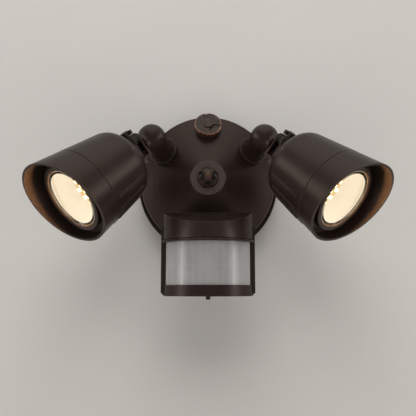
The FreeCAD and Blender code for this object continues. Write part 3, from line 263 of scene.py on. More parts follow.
class Finish(Graph):
    """A material under construction: a principled surface and the nodes that feed it."""

    def __init__(self, name):
        self.material = bpy.data.materials.new(name)
        super().__init__(self.material)

    def principled(self, **sockets):
        """The principled shader, with its sockets named as in Blender but with underscores."""
        inputs = {name.replace("_", " "): value for name, value in sockets.items()}
        return self.node("ShaderNodeBsdfPrincipled", None, inputs, "BSDF")

    def surface(self, **sockets):
        """The finished material, with one principled shader."""
        self.node("ShaderNodeOutputMaterial", None, {"Surface": self.principled(**sockets)})
        return self.material

    def place(self):
        """The point on the piece, in metres, moving with the piece."""
        return self.node("ShaderNodeTexCoord", output="Object")

    def axis_parts(self, place):
        """The point's x, y and z, a node for each."""
        return [self.node("ShaderNodeSeparateXYZ", None, {0: place}, k) for k in range(3)]

    def noise(self, place, size, detail=3.0, roughness=0.5, distortion=0.0):
        """Cloudy variation from 0 to 1 whose patches measure about size metres."""
        inputs = {
            "Vector": place,
            "Scale": 1 / size,
            "Detail": detail,
            "Roughness": roughness,
            "Distortion": distortion,
        }
        return self.node("ShaderNodeTexNoise", None, inputs)

    def specks(self, place, size, width):
        """Small round specks, 1 inside each, as wide as a share of the size of a cell."""
        cells = self.node(
            "ShaderNodeTexVoronoi", {"feature": "F1"}, {"Vector": place, "Scale": 1 / size}, "Distance"
        )
        return cells.between(width, width * 0.6)

    def mix(self, factor, first, second):
        """Two colours mixed by a factor."""
        first, second = (c if isinstance(c, Wire) else (*c[:3], 1.0) for c in (first, second))
        inputs = {0: factor, 6: first, 7: second}
        return self.node("ShaderNodeMix", {"data_type": "RGBA"}, inputs, 2)

    def vector(self, operation, first, second=None, output="Vector"):
        """A Vector Math node: a vector, or one number where the output is Value."""
        inputs = {0: first} if second is None else {0: first, 1: second}
        return self.node("ShaderNodeVectorMath", {"operation": operation}, inputs, output)

    def rounded_normal(self, radius):
        """The normal, with the edges rounded to a radius."""
        return self.node("ShaderNodeBevel", {"samples": 6}, {"Radius": radius})

    def edges(self, radius, gain):
        """1 along the sharp edges of a piece, falling off within radius."""
        true_normal = self.node("ShaderNodeNewGeometry", output="Normal")
        alignment = self.vector("DOT_PRODUCT", self.rounded_normal(radius), true_normal, "Value")
        return ((1 - alignment) * gain).between(0.0, 1.0)

    def crevices(self, reach):
        """1 deep in a crevice, 0 on open faces."""
        open_sky = self.node(
            "ShaderNodeAmbientOcclusion", {"only_local": True, "samples": 6}, {"Distance": reach}, "AO"
        )
        return 1 - open_sky

    def bump(self, height, distance, strength=1.0, normal=None):
        """The normal over a relief of height 0 to 1 that stands distance metres high."""
        inputs = {"Height": height, "Distance": distance, "Strength": strength}
        if normal is not None:
            inputs["Normal"] = normal
        return self.node("ShaderNodeBump", None, inputs)


def scaled(colour, factor):
    """A lighter or darker colour."""
    return tuple(min(1.0, channel * factor) for channel in colour[:3])


def mixed(first, second, share):
    """A colour between two, all over a piece."""
    return tuple(a + (b - a) * share for a, b in zip(first[:3], second[:3]))


def coat(finish, *nodes):
    """Gives a finish to CAD pieces."""
    for node in nodes:
        slots = NODES[node].material_slots
        if not slots:
            NODES[node].data.materials.append(finish)
        for slot in slots:
            slot.link = "OBJECT"
            slot.material = finish


# ---------------------------------------------------------------- finishes


def powder_coat(name, canopy=False, gloss=0.0, chipped=()):
    """Baked bronze powder: orange peel, soft mottling, rubbed edges with a painted highlight along them,
    and dust in the corners.

    The canopy also shows the rings of its lathe and a painted highlight on the seat round the cap nut.
    """
    colours = bpy.context.scene.light_finishes
    base, edge_tone = tuple(colours.powder_coat), tuple(colours.edge_wear_and_highlight_colour)
    finish = Finish(name)
    place = finish.place()
    clouds = finish.noise(place, 0.030, 4.0, 0.55, 0.4)
    grain = finish.noise(place, 0.0011, 2.0)
    powder = finish.noise(place, 0.00042, 1.5)
    edge_wear_and_highlight = finish.edges(0.0009, 7.0) * finish.noise(place, 0.007, 3.0, 0.55).between(0.22, 0.58)
    dust = finish.crevices(0.004).between(0.25, 0.85) * finish.noise(place, 0.004, 3.0)
    colour = finish.mix(clouds.between(0.30, 0.72), scaled(base, 0.86), scaled(base, 1.16))
    colour = finish.mix(grain * 0.35, colour, mixed(base, (0.032, 0.023, 0.023), 0.8))
    colour = finish.mix(dust * 0.30, colour, (0.050, 0.042, 0.036))
    # Paler edges: wear, and a painted highlight along the edges.
    colour = finish.mix(edge_wear_and_highlight * 0.75, colour, edge_tone)
    for spot in chipped:
        gap = finish.vector("DISTANCE", place, spot, "Value")
        chip = (gap + (grain - 0.5) * 0.0009).between(0.00075, 0.00050)
        colour = finish.mix(chip * 0.8, colour, (0.36, 0.27, 0.14))
    roughness = colours.powder_coat_roughness - gloss + (clouds - 0.5) * 0.12 + (powder - 0.5) * 0.10
    roughness = roughness - edge_wear_and_highlight * 0.10 + dust * 0.18
    relief = grain * 0.7 + powder * 0.45
    if canopy:
        x, _, z = finish.axis_parts(place)
        radius = (x * x + z * z).root()
        lathe = (radius * (math.tau / 0.0016) + clouds * 1.2).sine() * 0.5 + 0.5
        waves = (radius * (math.tau / 0.0061)).sine() * 0.5 + 0.5
        relief = relief + lathe * 0.75 + waves * 0.6
        roughness = roughness + lathe * 0.06
        colour = finish.mix(lathe * 0.20, colour, mixed(base, edge_tone, 0.30))
        # Painted highlight: the flat seat round the cap nut is made paler where it reflects the light.
        seat_highlight = radius.between(0.0160, 0.0147)
        colour = finish.mix(seat_highlight * 0.85, colour, mixed(base, (0.130, 0.103, 0.096), 0.90))
        roughness = roughness - seat_highlight * 0.04
    normal = finish.bump(relief, 0.00006, 0.55, finish.rounded_normal(0.00035))
    return finish.surface(
        Base_Color=colour,
        Roughness=roughness,
        Normal=normal,
        Specular_IOR_Level=0.26,
        Specular_Tint=(1.0, 0.78, 0.70, 1.0),
    )


def rubbed_bronze(name, centre=(0.0, 0.0, 0.0), axis=(0.0, 1.0, 0.0), rim=None):
    """Oil-rubbed plating: nearly black and glossy, with copper on the handled edges, which also stands as
    a painted highlight along them.

    The centre and the axis are the piece's own. A piece with a rim, given by its radius, shows
    a copper line along it, and any other piece a painted copper glint on its crown.
    """
    colours = bpy.context.scene.light_finishes
    dark, copper = tuple(colours.rubbed_bronze), tuple(colours.copper)
    finish = Finish(name)
    place = finish.place()
    clouds = finish.noise(place, 0.005, 4.0, 0.6, 0.8)
    brushed = finish.noise(place, 0.0006, 2.0)
    patches = finish.noise(place, 0.0034, 5.0, 0.7).between(0.36, 0.54)
    edge_wear_and_highlight = finish.edges(0.00045, 4.0) * patches
    across = finish.vector("CROSS_PRODUCT", finish.vector("SUBTRACT", place, centre), axis)
    radius = finish.vector("LENGTH", across, output="Value")
    scratches = finish.noise(place, 0.0016, 5.0, 0.8, 2.5).between(0.63, 0.68)
    colour = finish.mix(clouds.between(0.35, 0.7), scaled(dark, 0.75), scaled(dark, 1.5))
    # Copper edges: wear, and a painted highlight along the edges.
    colour = finish.mix(edge_wear_and_highlight, colour, copper)
    colour = finish.mix(scratches * 0.12, colour, scaled(copper, 0.6))
    if rim is None:
        # Painted highlight: a copper glint at the crown of the cap nut.
        crown_glint = (radius + (clouds - 0.5) * 0.004).between(0.0046, 0.0)
        colour = finish.mix(crown_glint * 0.26, colour, scaled(copper, 0.7))
    else:
        worn_rim = radius.between(rim - 0.0010, rim - 0.0004) * (0.35 + patches * 0.65)
        colour = finish.mix(worn_rim * 0.55, colour, copper)
    roughness = 0.22 + clouds * 0.10 + brushed * 0.06 - edge_wear_and_highlight * 0.05
    normal = finish.bump(brushed * 0.4 + clouds * 0.8, 0.00004, 0.4, finish.rounded_normal(0.0003))
    return finish.surface(
        Base_Color=colour, Roughness=roughness, Metallic=0.6, Normal=normal, Specular_IOR_Level=0.4
    )


def moulded_plastic(name, colour, roughness, parting=None):
    """Moulded plastic: fine spark texture, faint flow marks, and polished edges with a painted highlight
    along them.

    A parting height adds the groove where two halves meet, with painted shadow in it.
    """
    finish = Finish(name)
    place = finish.place()
    flow = finish.noise(place, 0.018, 3.0, 0.5, 1.0)
    texture = finish.noise(place, 0.0012, 2.5, 0.6)
    fine = finish.noise(place, 0.0003, 1.0)
    # Pale edges: polish along the edges, and a painted highlight along them.
    edge_wear_and_highlight = finish.edges(0.0005, 5.0) * finish.noise(place, 0.009, 3.0, 0.5).between(0.22, 0.55)
    dust = finish.crevices(0.003).between(0.3, 0.9)
    tone = finish.mix(flow.between(0.3, 0.7), scaled(colour, 0.88), scaled(colour, 1.15))
    tone = finish.mix(texture * 0.25, tone, scaled(colour, 1.8))
    tone = finish.mix(dust * 0.22, tone, (0.07, 0.06, 0.052))
    tone = finish.mix(edge_wear_and_highlight * 0.9, tone, mixed(colour, (0.20, 0.16, 0.14), 0.75))
    if parting is not None:
        _, _, z = finish.axis_parts(place)
        gap = z.between(parting - 0.00048, parting) * z.between(parting + 0.00048, parting)
        # Painted shadow: the parting groove is coloured nearly black for the shade that falls in it.
        tone = finish.mix(gap.between(0.2, 0.7), tone, (0.0010, 0.0008, 0.0007))
        dust = dust + gap * 3
    shine = roughness + (flow - 0.5) * 0.10 + (texture - 0.5) * 0.08 + dust * 0.12 - edge_wear_and_highlight * 0.06
    normal = finish.bump(texture * 0.6 + fine * 0.4, 0.00003, 0.5, finish.rounded_normal(0.0003))
    if parting is not None:
        normal = finish.bump(1 - gap, 0.0009, 1.0, normal)
    return finish.surface(
        Base_Color=tone,
        Roughness=shine,
        Normal=normal,
        Specular_IOR_Level=0.31,
        Specular_Tint=(1.0, 0.80, 0.74, 1.0),
    )


def plated_steel(name, colour=(0.46, 0.455, 0.44), edge_tone=(0.68, 0.68, 0.67)):
    """Zinc plate: bright, slightly cloudy, with drawn lines and dull spots."""
    finish = Finish(name)
    place = finish.place()
    spangle = finish.noise(place, 0.0022, 4.0, 0.6, 0.6)
    drawn = finish.noise(place, 0.0004, 2.0)
    dull = finish.noise(place, 0.006, 4.0).between(0.5, 0.7)
    edge = finish.edges(0.0003, 5.0)
    tone = finish.mix(spangle.between(0.3, 0.7), scaled(colour, 0.78), scaled(colour, 1.15))
    tone = finish.mix(dull * 0.35, tone, mixed(colour, (0.20, 0.18, 0.13), 0.45))
    tone = finish.mix(edge * 0.5, tone, edge_tone)
    normal = finish.bump(spangle * 0.5 + drawn * 0.5, 0.00003, 0.5)
    return finish.surface(
        Base_Color=tone, Roughness=0.30 + spangle * 0.14 + dull * 0.12, Metallic=1.0, Normal=normal
    )


def gasket_rubber(name):
    """Closed-cell rubber: matt, pored and a little chalky."""
    finish = Finish(name)
    place = finish.place()
    pores = finish.specks(place, 0.0009, 0.30)
    clouds = finish.noise(place, 0.009, 4.0)
    tone = finish.mix(clouds, (0.017, 0.017, 0.018), (0.036, 0.035, 0.034))
    tone = finish.mix(finish.edges(0.0006, 4.0) * 0.4, tone, (0.075, 0.072, 0.068))
    normal = finish.bump(clouds * 0.5 - pores, 0.0001, 0.6)
    return finish.surface(Base_Color=tone, Roughness=0.82 + clouds * 0.12, Normal=normal)


def circuit_board(name, mask, traces=(0.05, 0.20, 0.11), glow=None):
    """Solder mask over copper tracks, with tinned pads. A glow lights it from its own lamps."""
    finish = Finish(name)
    place = finish.place()
    tracks = finish.node(
        "ShaderNodeTexBrick",
        {"offset": 0.35, "squash": 0.6},
        {
            "Vector": place,
            "Color1": (1, 1, 1, 1),
            "Color2": (0.4, 0.4, 0.4, 1),
            "Mortar": (0, 0, 0, 1),
            "Scale": 260.0,
            "Mortar Size": 0.035,
        },
        "Fac",
    )
    pads = finish.specks(place, 0.0032, 0.22)
    clouds = finish.noise(place, 0.004, 3.0)
    tone = finish.mix(tracks * 0.6, mask, traces)
    tone = finish.mix(pads, tone, (0.62, 0.60, 0.55))
    normal = finish.bump(tracks * 0.5 + pads, 0.00005, 0.6)
    sockets = {"Base_Color": tone, "Roughness": 0.30 + clouds * 0.2, "Normal": normal}
    if glow is not None:
        sockets["Emission_Color"] = finish.mix(pads * 0.5 + clouds * 0.4, glow, scaled(glow, 0.7))
        sockets["Emission_Strength"] = 1.0
    return finish.surface(**sockets)


def bare_aluminium(name):
    """Cast aluminium as it leaves the mould, grey and lumpy."""
    finish = Finish(name)
    lumps = finish.noise(finish.place(), 0.002, 4.0, 0.6)
    return finish.surface(
        Base_Color=finish.mix(lumps, (0.50, 0.50, 0.49), (0.66, 0.66, 0.65)),
        Metallic=1.0,
        Roughness=0.42 + lumps * 0.15,
        Normal=finish.bump(lumps, 0.00008, 0.6),
    )


def potting_resin(name):
    """Black resin that has flowed and set."""
    finish = Finish(name)
    swirls = finish.noise(finish.place(), 0.007, 4.0, 0.6, 1.5)
    return finish.surface(
        Base_Color=finish.mix(swirls, (0.012, 0.012, 0.013), (0.035, 0.034, 0.033)),
        Roughness=0.25 + swirls * 0.2,
        Normal=finish.bump(swirls, 0.0002, 0.5),
    )


def lit_phosphor(name, strength):
    """The glowing yellow coat of the LED chips."""
    finish = Finish(name)
    grain = finish.noise(finish.place(), 0.0008, 2.0)
    return finish.surface(
        Base_Color=finish.mix(grain, (0.85, 0.66, 0.22), (0.92, 0.78, 0.34)),
        Roughness=0.35 + grain * 0.1,
        Emission_Color=finish.mix(grain, (1.0, 0.80, 0.46), (1.0, 0.86, 0.56)),
        Emission_Strength=strength,
        Normal=finish.bump(grain, 0.00003, 0.4),
    )


def lit_reflector(name, glow, strength, direction, centre):
    """A warm white cone whose glow is painted light from its LEDs, brightest towards its rim."""
    finish = Finish(name)
    place = finish.place()
    from_lens = finish.vector("SUBTRACT", place, tuple(centre))
    depth = finish.vector("DOT_PRODUCT", from_lens, tuple(direction), "Value")
    clouds = finish.noise(place, 0.008, 3.0)
    shade = finish.mix(depth.between(-0.021, -0.008), scaled(glow, 0.72), glow)
    return finish.surface(
        Base_Color=finish.mix(clouds, (0.26, 0.25, 0.22), (0.32, 0.31, 0.28)),
        Roughness=0.45 + clouds * 0.1,
        Emission_Color=finish.mix(clouds * 0.2, shade, scaled(glow, 0.9)),
        Emission_Strength=strength,
        Normal=finish.bump(clouds, 0.00002, 0.3),
    )


def clear_lens(name):
    """Clear moulded plastic with a faint film on it."""
    finish = Finish(name)
    film = finish.noise(finish.place(), 0.006, 4.0, 0.6)
    return finish.surface(
        Base_Color=finish.mix(film, (0.96, 0.95, 0.92), (1.0, 1.0, 0.99)),
        Roughness=0.02 + film * 0.05,
        Normal=finish.bump(film, 0.00002, 0.3),
        Transmission_Weight=1.0,
        IOR=1.46,
    )


def milky_window(name, base, low, high):
    """Milky glossy plastic between two heights, paler in its mould lines, with painted shade along its top
    and bottom edges.
    """
    finish = Finish(name)
    place = finish.place()
    _, _, z = finish.axis_parts(place)
    clouds = finish.noise(place, 0.02, 3.0, 0.5, 0.6)
    haze = finish.noise(place, 0.0008, 2.0)
    tone = finish.mix(clouds.between(0.3, 0.7), scaled(base, 0.93), scaled(base, 1.06))
    tone = finish.mix(haze * 0.12, tone, (0.5, 0.5, 0.5))
    lines = finish.node("ShaderNodeAttribute", {"attribute_name": "mould_line"}, output="Fac")
    tone = finish.mix(lines * 0.45, tone, scaled(base, 1.35))
    # Painted shade: the window darkens towards its top and bottom, where the hood and the base shade it.
    painted_edge_shade = z.between(low + 0.006, low) + z.between(high - 0.006, high)
    return finish.surface(
        Base_Color=finish.mix(painted_edge_shade * 0.3, tone, scaled(base, 0.6)),
        Roughness=0.30 + haze * 0.08,
        Normal=finish.bump(haze, 0.00001, 0.4),
        Transmission_Weight=0.10,
        IOR=1.5,
        Coat_Weight=0.6,
        Coat_Roughness=0.16,
    )


# ---------------------------------------------------------------- mesh helpers


def new_piece(name, mesh_maker, material, body, slot, *stands_for):
    """Makes a mesh piece, gives it its finish and lets it ride on a body."""
    mesh = bpy.data.meshes.new(name)
    builder = bmesh.new()
    mesh_maker(builder)
    bmesh.ops.recalc_face_normals(builder, faces=builder.faces)
    for face in builder.faces:
        face.smooth = True
    builder.to_mesh(mesh)
    builder.free()
    mesh.materials.append(material)
    piece = bpy.data.objects.new(name, mesh)
    bpy.context.scene.collection.objects.link(piece)
    mesh.set_sharp_from_angle(angle=math.radians(35))
    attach(piece, body)
    if stands_for:
        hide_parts(*stands_for)
    return piece


def each(sides, *kinds):
    """The names of like pieces on several sides."""
    return [f"{side}_{kind}" for side in sides for kind in kinds]


def points_of(node):
    """A CAD piece's points, a row for each."""
    return np.array([vertex.co for vertex in NODES[node].data.vertices], float)


def lamp_axis(side):
    """Direction in which a lamp head shines, and the centre of its lens."""
    lens, board = points_of(f"{side}_lens"), points_of(f"{side}_led_board")
    centre = (lens.max(0) + lens.min(0)) / 2
    board_centre = (board.max(0) + board.min(0)) / 2
    return Vector(centre - board_centre).normalized(), Vector(centre)


def frame_along(direction, origin):
    """A matrix whose Z runs along direction."""
    turn = Vector((0, 0, 1)).rotation_difference(direction).to_matrix().to_4x4()
    return Matrix.Translation(origin) @ turn


def ring_of(radius, height, count):
    """Points round the Z axis."""
    angles = [math.tau * k / count for k in range(count)]
    return [Vector((radius * math.cos(a), radius * math.sin(a), height)) for a in angles]


def join_rings(builder, rings):
    """Faces from each ring of points to the next. A ring of one point is the tip of a fan."""
    for low, high in zip(rings, rings[1:]):
        count = max(len(low), len(high))
        for k in range(count):
            n = (k + 1) % count
            if len(low) == 1:
                builder.faces.new((low[0], high[k], high[n]))
            elif len(high) == 1:
                builder.faces.new((low[k], high[0], low[n]))
            else:
                builder.faces.new((low[k], high[k], high[n], low[n]))


def turned(profile, matrix, segments=128):
    """A maker of a solid of revolution from corners of radius and height, first and last on the axis."""

    def make(builder):
        rings = []
        for radius, height in profile:
            points = ring_of(radius, height, 1 if radius == 0 else segments)
            rings.append([builder.verts.new(matrix @ point) for point in points])
        join_rings(builder, rings)

    return make


def plan_outline(node, level):
    """A D-shaped piece's front in plan at a height: rows of x, y and the outward direction."""
    _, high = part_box(node)
    tree = BVHTree.FromObject(NODES[node], bpy.context.evaluated_depsgraph_get())
    centre = Vector((0.0, high.y - 0.2 * MM, level))
    beyond = 0.2
    outline = []
    for angle in np.linspace(0.0, math.pi, 361):
        away = Vector((-math.cos(angle), -math.sin(angle), 0))
        hit, normal, _, _ = tree.ray_cast(centre + away * beyond, -away)
        if hit is None:
            raise RuntimeError(f"{node} has no front at {math.degrees(angle):.1f} degrees")
        if normal.dot(away) < 0:
            normal.negate()
        outline.append((hit.x, hit.y, normal.x, normal.y))
    return np.array(outline)


def area_light(name, shape, size, power, colour, lights):
    """An area light that the camera doesn't see. It reaches only the collection lights, or all."""
    lamp = bpy.data.lights.new(name, "AREA")
    lamp.shape = shape
    lamp.size, lamp.size_y = size
    lamp.energy = power
    lamp.color = colour
    holder = bpy.data.objects.new(name, lamp)
    bpy.context.scene.collection.objects.link(holder)
    holder.visible_camera = False
    holder.light_linking.receiver_collection = lights
    return holder


def linked(name, *pieces):
    """A collection of pieces for a light to reach, or to leave out."""
    collection = bpy.data.collections.new(name)
    for piece in pieces:
        collection.objects.link(piece)
    return collection


# ---------------------------------------------------------------- operators


class LIGHT_OT_castings(bpy.types.Operator):
    """Coat the canopy, elbows, lamp housings, hoods and bezels with bronze powder"""

    bl_idname = "security_light.coat_castings"
    bl_label = "Coat the castings"

    def execute(self, context):
        coat(powder_coat("canopy_powder_coat", canopy=True, gloss=0.03), "canopy_cover")
        casting = powder_coat("casting_powder_coat", chipped=CHIPPED_PLACES)
        coat(casting, *each(SIDES, "housing", "hood"), *each(KNUCKLES, "elbow", "stirrup"))
        coat(powder_coat("bezel_powder_coat", gloss=0.04), *each(SIDES, "bezel"))
        return {"FINISHED"}


class LIGHT_OT_fasteners(bpy.types.Operator):
    """Plate the crossbar, screws, nipples, nuts, rivets and pivots"""

    bl_idname = "security_light.plate_fasteners"
    bl_label = "Plate the fasteners"

    def execute(self, context):
        shown = each(KNUCKLES, "stirrup_rivet", "pivot_screw", "pivot_nut")
        hidden = ["crossbar", "ground_screw", "center_nipple", "nipple_nut", "sensor_screws"]
        coat(plated_steel("blackened_zinc", (0.045, 0.037, 0.033), (0.09, 0.075, 0.06)), *shown)
        coat(plated_steel("zinc_plate"), *hidden, *each(KNUCKLES, "lock_nut"))
        return {"FINISHED"}


class LIGHT_OT_caps(bpy.types.Operator):
    """Finish the cap nut, its washer and the closure plug in rubbed bronze"""

    bl_idname = "security_light.finish_caps"
    bl_label = "Finish the cap nut and plug"

    def execute(self, context):
        coat(rubbed_bronze("oil_rubbed_bronze"), "cap_nut", "cap_nut_washer")
        self.plug()
        return {"FINISHED"}

    def disc_height(self, radius, angle):
        """Height of the plug's disc over its face, all in millimetres."""

        def ease(value, low, high):
            share = min(1.0, max(0.0, (value - low) / (high - low)))
            return share * share * (3 - 2 * share)

        hub = PLUG_HUB * (1 - ease(radius, 4.7, 5.3))
        rounding = 0.55 * ease(radius, PLUG_RADIUS - 0.8, PLUG_RADIUS) ** 2
        slot = sector = 0.0
        past_slot = angle - math.radians(97)
        if math.cos(past_slot) > 0:
            aside = abs(radius * math.sin(past_slot))
            slot = 1.1 * (1 - ease(aside, 0.75, 1.0)) * ease(radius, 6.6, 6.9)
        start, end = math.radians(-84), math.radians(-6)
        if start < angle < end:
            inside = radius * min(math.sin(angle - start), math.sin(end - angle))
            sector = 1.25 * ease(inside, 0.0, 0.3) * ease(radius, 5.2, 5.6)
        return hub - rounding - slot - sector

    def plug(self):
        """The plug's disc with its hub, coin slot and sunk sector, on a plain threaded shank."""
        tilt = math.radians(23.0)
        out = np.array((0.0, -math.cos(tilt), math.sin(tilt)))
        up = np.array((0.0, math.sin(tilt), math.cos(tilt)))
        points = points_of("closure_plug")
        heights, sideways = points @ out, points @ up
        middle = float(sideways.max() + sideways.min()) / 2
        face, back = float(heights.max()) - PLUG_HUB * MM, float(heights.min())
        rim, shank, flange, bevel = PLUG_RADIUS * MM, 9.6 * MM, face - 3.2 * MM, 0.4 * MM
        rings = 78
        angles = [math.radians(k) for k in range(-180, 180)]

        def make(builder):
            def vertex(radius, angle, level):
                across, along = radius * math.cos(angle), middle + radius * math.sin(angle)
                return builder.verts.new(Vector((across, 0, 0)) + Vector(up) * along + Vector(out) * level)

            rows = [[vertex(0.0, 0.0, face + PLUG_HUB * MM)]]
            for k in range(1, rings + 1):
                radius = rim * k / rings
                levels = [face + self.disc_height(radius / MM, angle) * MM for angle in angles]
                rows.append([vertex(radius, *place) for place in zip(angles, levels)])
            behind = ((rim, flange + bevel), (rim - bevel, flange), (shank, flange), (shank, back))
            for radius, level in behind:
                rows.append([vertex(radius, angle, level) for angle in angles])
            join_rings(builder, rows)
            builder.faces.new(rows[-1])

        bronze = rubbed_bronze("plug_bronze", tuple(up * middle), tuple(out), rim)
        new_piece("closure_plug_disc", make, bronze, "fixture", "rubbed_bronze", "closure_plug")


class LIGHT_OT_gaskets(bpy.types.Operator):
    """Finish the rubber gaskets"""

    bl_idname = "security_light.finish_gaskets"
    bl_label = "Finish the gaskets"

    def execute(self, context):
        rubber = gasket_rubber("closed_cell_rubber")
        coat(rubber, "wall_gasket", "closure_plug_gasket", *each(SIDES, "lens_gasket"))
        return {"FINISHED"}


class LIGHT_OT_knobs(bpy.types.Operator):
    """Finish the clamp knobs and the dial in bronze plastic"""

    bl_idname = "security_light.finish_knobs"
    bl_label = "Finish the knobs and dial"

    def execute(self, context):
        colours = context.scene.light_finishes
        plastic = moulded_plastic("knob_plastic", scaled(colours.sensor_plastic, 1.1), 0.40)
        coat(plastic, "sensor_dial", *each(KNUCKLES, "clamp_knob"))
        return {"FINISHED"}


class LIGHT_OT_sensor_shell(bpy.types.Operator):
    """Finish the sensor's hood, back and base in satin bronze plastic"""

    bl_idname = "security_light.finish_sensor_shell"
    bl_label = "Finish the sensor shell"

    def execute(self, context):
        colours = context.scene.light_finishes
        look = tuple(colours.sensor_plastic), colours.sensor_plastic_roughness
        plastic = moulded_plastic("sensor_shell_plastic", *look)
        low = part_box("sensor_hood")[0].z
        parted = moulded_plastic("sensor_hood_plastic", *look, parting=low + 2.3 * MM)
        coat(parted, "sensor_hood")
        coat(plastic, "sensor_back", "sensor_base")
        self.lip_bead(low + 1.0 * MM, plastic)
        return {"FINISHED"}

    def lip_bead(self, level, plastic):
        """A fine raised line round the hood's front, on its lip."""
        outline = plan_outline("sensor_hood", level)
        section = ring_of(0.50 * MM, 0.0, 10)

        def make(builder):
            rings = [
                [builder.verts.new((x + nx * p.x, y + ny * p.x, level + p.y)) for p in section]
                for x, y, nx, ny in outline
            ]
            join_rings(builder, rings)
            builder.faces.new(rings[0])
            builder.faces.new(rings[-1])

        new_piece("sensor_lip_bead", make, plastic, "sensor_head", "bronze_plastic")


class LIGHT_OT_sensor_inside(bpy.types.Operator):
    """Finish the sensor's circuit board and detector"""

    bl_idname = "security_light.finish_sensor_inside"
    bl_label = "Finish the sensor's inside"

    def execute(self, context):
        coat(circuit_board("sensor_board_green", (0.012, 0.085, 0.040)), "sensor_board")
        coat(plated_steel("detector_can", (0.60, 0.57, 0.48)), "pyro_sensor")
        return {"FINISHED"}


class LIGHT_OT_sensor_window(bpy.types.Operator):
    """Mould the sensor window with its columns of small lenses"""

    bl_idname = "security_light.mould_window"
    bl_label = "Mould the sensor window"

    def execute(self, context):
        settings = context.scene.light_window
        low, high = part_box("fresnel_lens")
        outline = plan_outline("fresnel_lens", (low.z + high.z) / 2)
        steps = np.hypot(*np.diff(outline[:, :2], axis=0).T)
        length = np.concatenate([[0.0], np.cumsum(steps)])
        wall, groove_width = 1.35 * MM, 0.60 * MM
        across, up = 420, 140
        where = np.linspace(0.0, length[-1], across + 1)
        plan = np.stack([np.interp(where, length, outline[:, k]) for k in range(4)], 1)
        plan[:, 2:] /= np.linalg.norm(plan[:, 2:], axis=1)[:, None]
        split = low.z + (high.z - low.z) * settings.split
        column = length[-1] / settings.columns

        def relief(along, z):
            """Depth of the lines and arcs at a place on the window, and how far it is in a line."""
            cell = along / column
            to_line = abs(cell - round(cell)) * column
            groove = max(0.0, 1 - min(to_line, abs(z - split)) / groove_width)
            middle = (math.floor(cell) + 0.5) * column
            row_middle = (split + high.z) / 2 if z > split else (split + low.z) / 2
            radius = math.hypot(along - middle, z - row_middle)
            arc = abs((radius / settings.arc_pitch) % 1.0 - 0.5) * 2
            return groove * settings.groove_depth + arc * settings.arc_depth, groove

        def make(builder):
            outer, inner = [], []
            mould_line = builder.verts.layers.float.new("mould_line")
            for z in np.linspace(low.z, high.z, up + 1):
                outer.append([])
                inner.append([])
                for along, (x, y, nx, ny) in zip(where, plan):
                    depth, groove = relief(along, z)
                    outer[-1].append(builder.verts.new((x - nx * depth, y - ny * depth, z)))
                    outer[-1][-1][mould_line] = groove
                    inner[-1].append(builder.verts.new((x - nx * wall, y - ny * wall, z)))
            for j in range(up):
                for i in range(across):
                    for row in (outer, inner):
                        builder.faces.new((row[j][i], row[j][i + 1], row[j + 1][i + 1], row[j + 1][i]))
            for i in range(across):
                for j in (0, up):
                    builder.faces.new((outer[j][i], inner[j][i], inner[j][i + 1], outer[j][i + 1]))
            for j in range(up):
                for i in (0, across):
                    builder.faces.new((outer[j][i], outer[j + 1][i], inner[j + 1][i], inner[j][i]))

        milky = milky_window("milky_window_plastic", tuple(settings.plastic), low.z, high.z)
        new_piece("sensor_window", make, milky, "sensor_head", "fresnel_plastic", "fresnel_lens")
        return {"FINISHED"}


class LIGHT_OT_lamp_lenses(bpy.types.Operator):
    """Turn the clear lamp lenses with their moulded rings"""

    bl_idname = "security_light.turn_lamp_lenses"
    bl_label = "Turn the lamp lenses"

    def execute(self, context):
        settings = context.scene.light_lamps
        clear = clear_lens("clear_lamp_lens")
        outer_ring, crown_glint = 24.2 * MM, 0.35 * MM
        for side in SIDES:
            direction, centre = lamp_axis(side)
            offsets = points_of(f"{side}_lens") - np.array(centre)
            heights = offsets @ np.array(direction)
            low, high = float(heights.min()), float(heights.max())
            reach = float(np.linalg.norm(offsets - np.outer(heights, direction), axis=1).max())
            profile = [(0.0, low), (reach, low), (reach, high)]
            ring = outer_ring
            for _ in range(settings.ring_count):
                crest = ring - settings.ring_pitch / 2
                profile += [(ring, high), (crest, high + settings.ring_height)]
                ring -= settings.ring_pitch
            for share in (1.0, 0.9, 0.7, 0.5, 0.3, 0.1, 0.0):
                profile.append((ring * share, high + crown_glint * (1 - share * share)))
            maker = turned(profile, frame_along(direction, centre))
            name, head, stands_for = f"{side}_lamp_lens", f"{side}_head", f"{side}_lens"
            lens = new_piece(name, maker, clear, head, "lamp_glass", stands_for)
            lens.visible_shadow = False
        return {"FINISHED"}


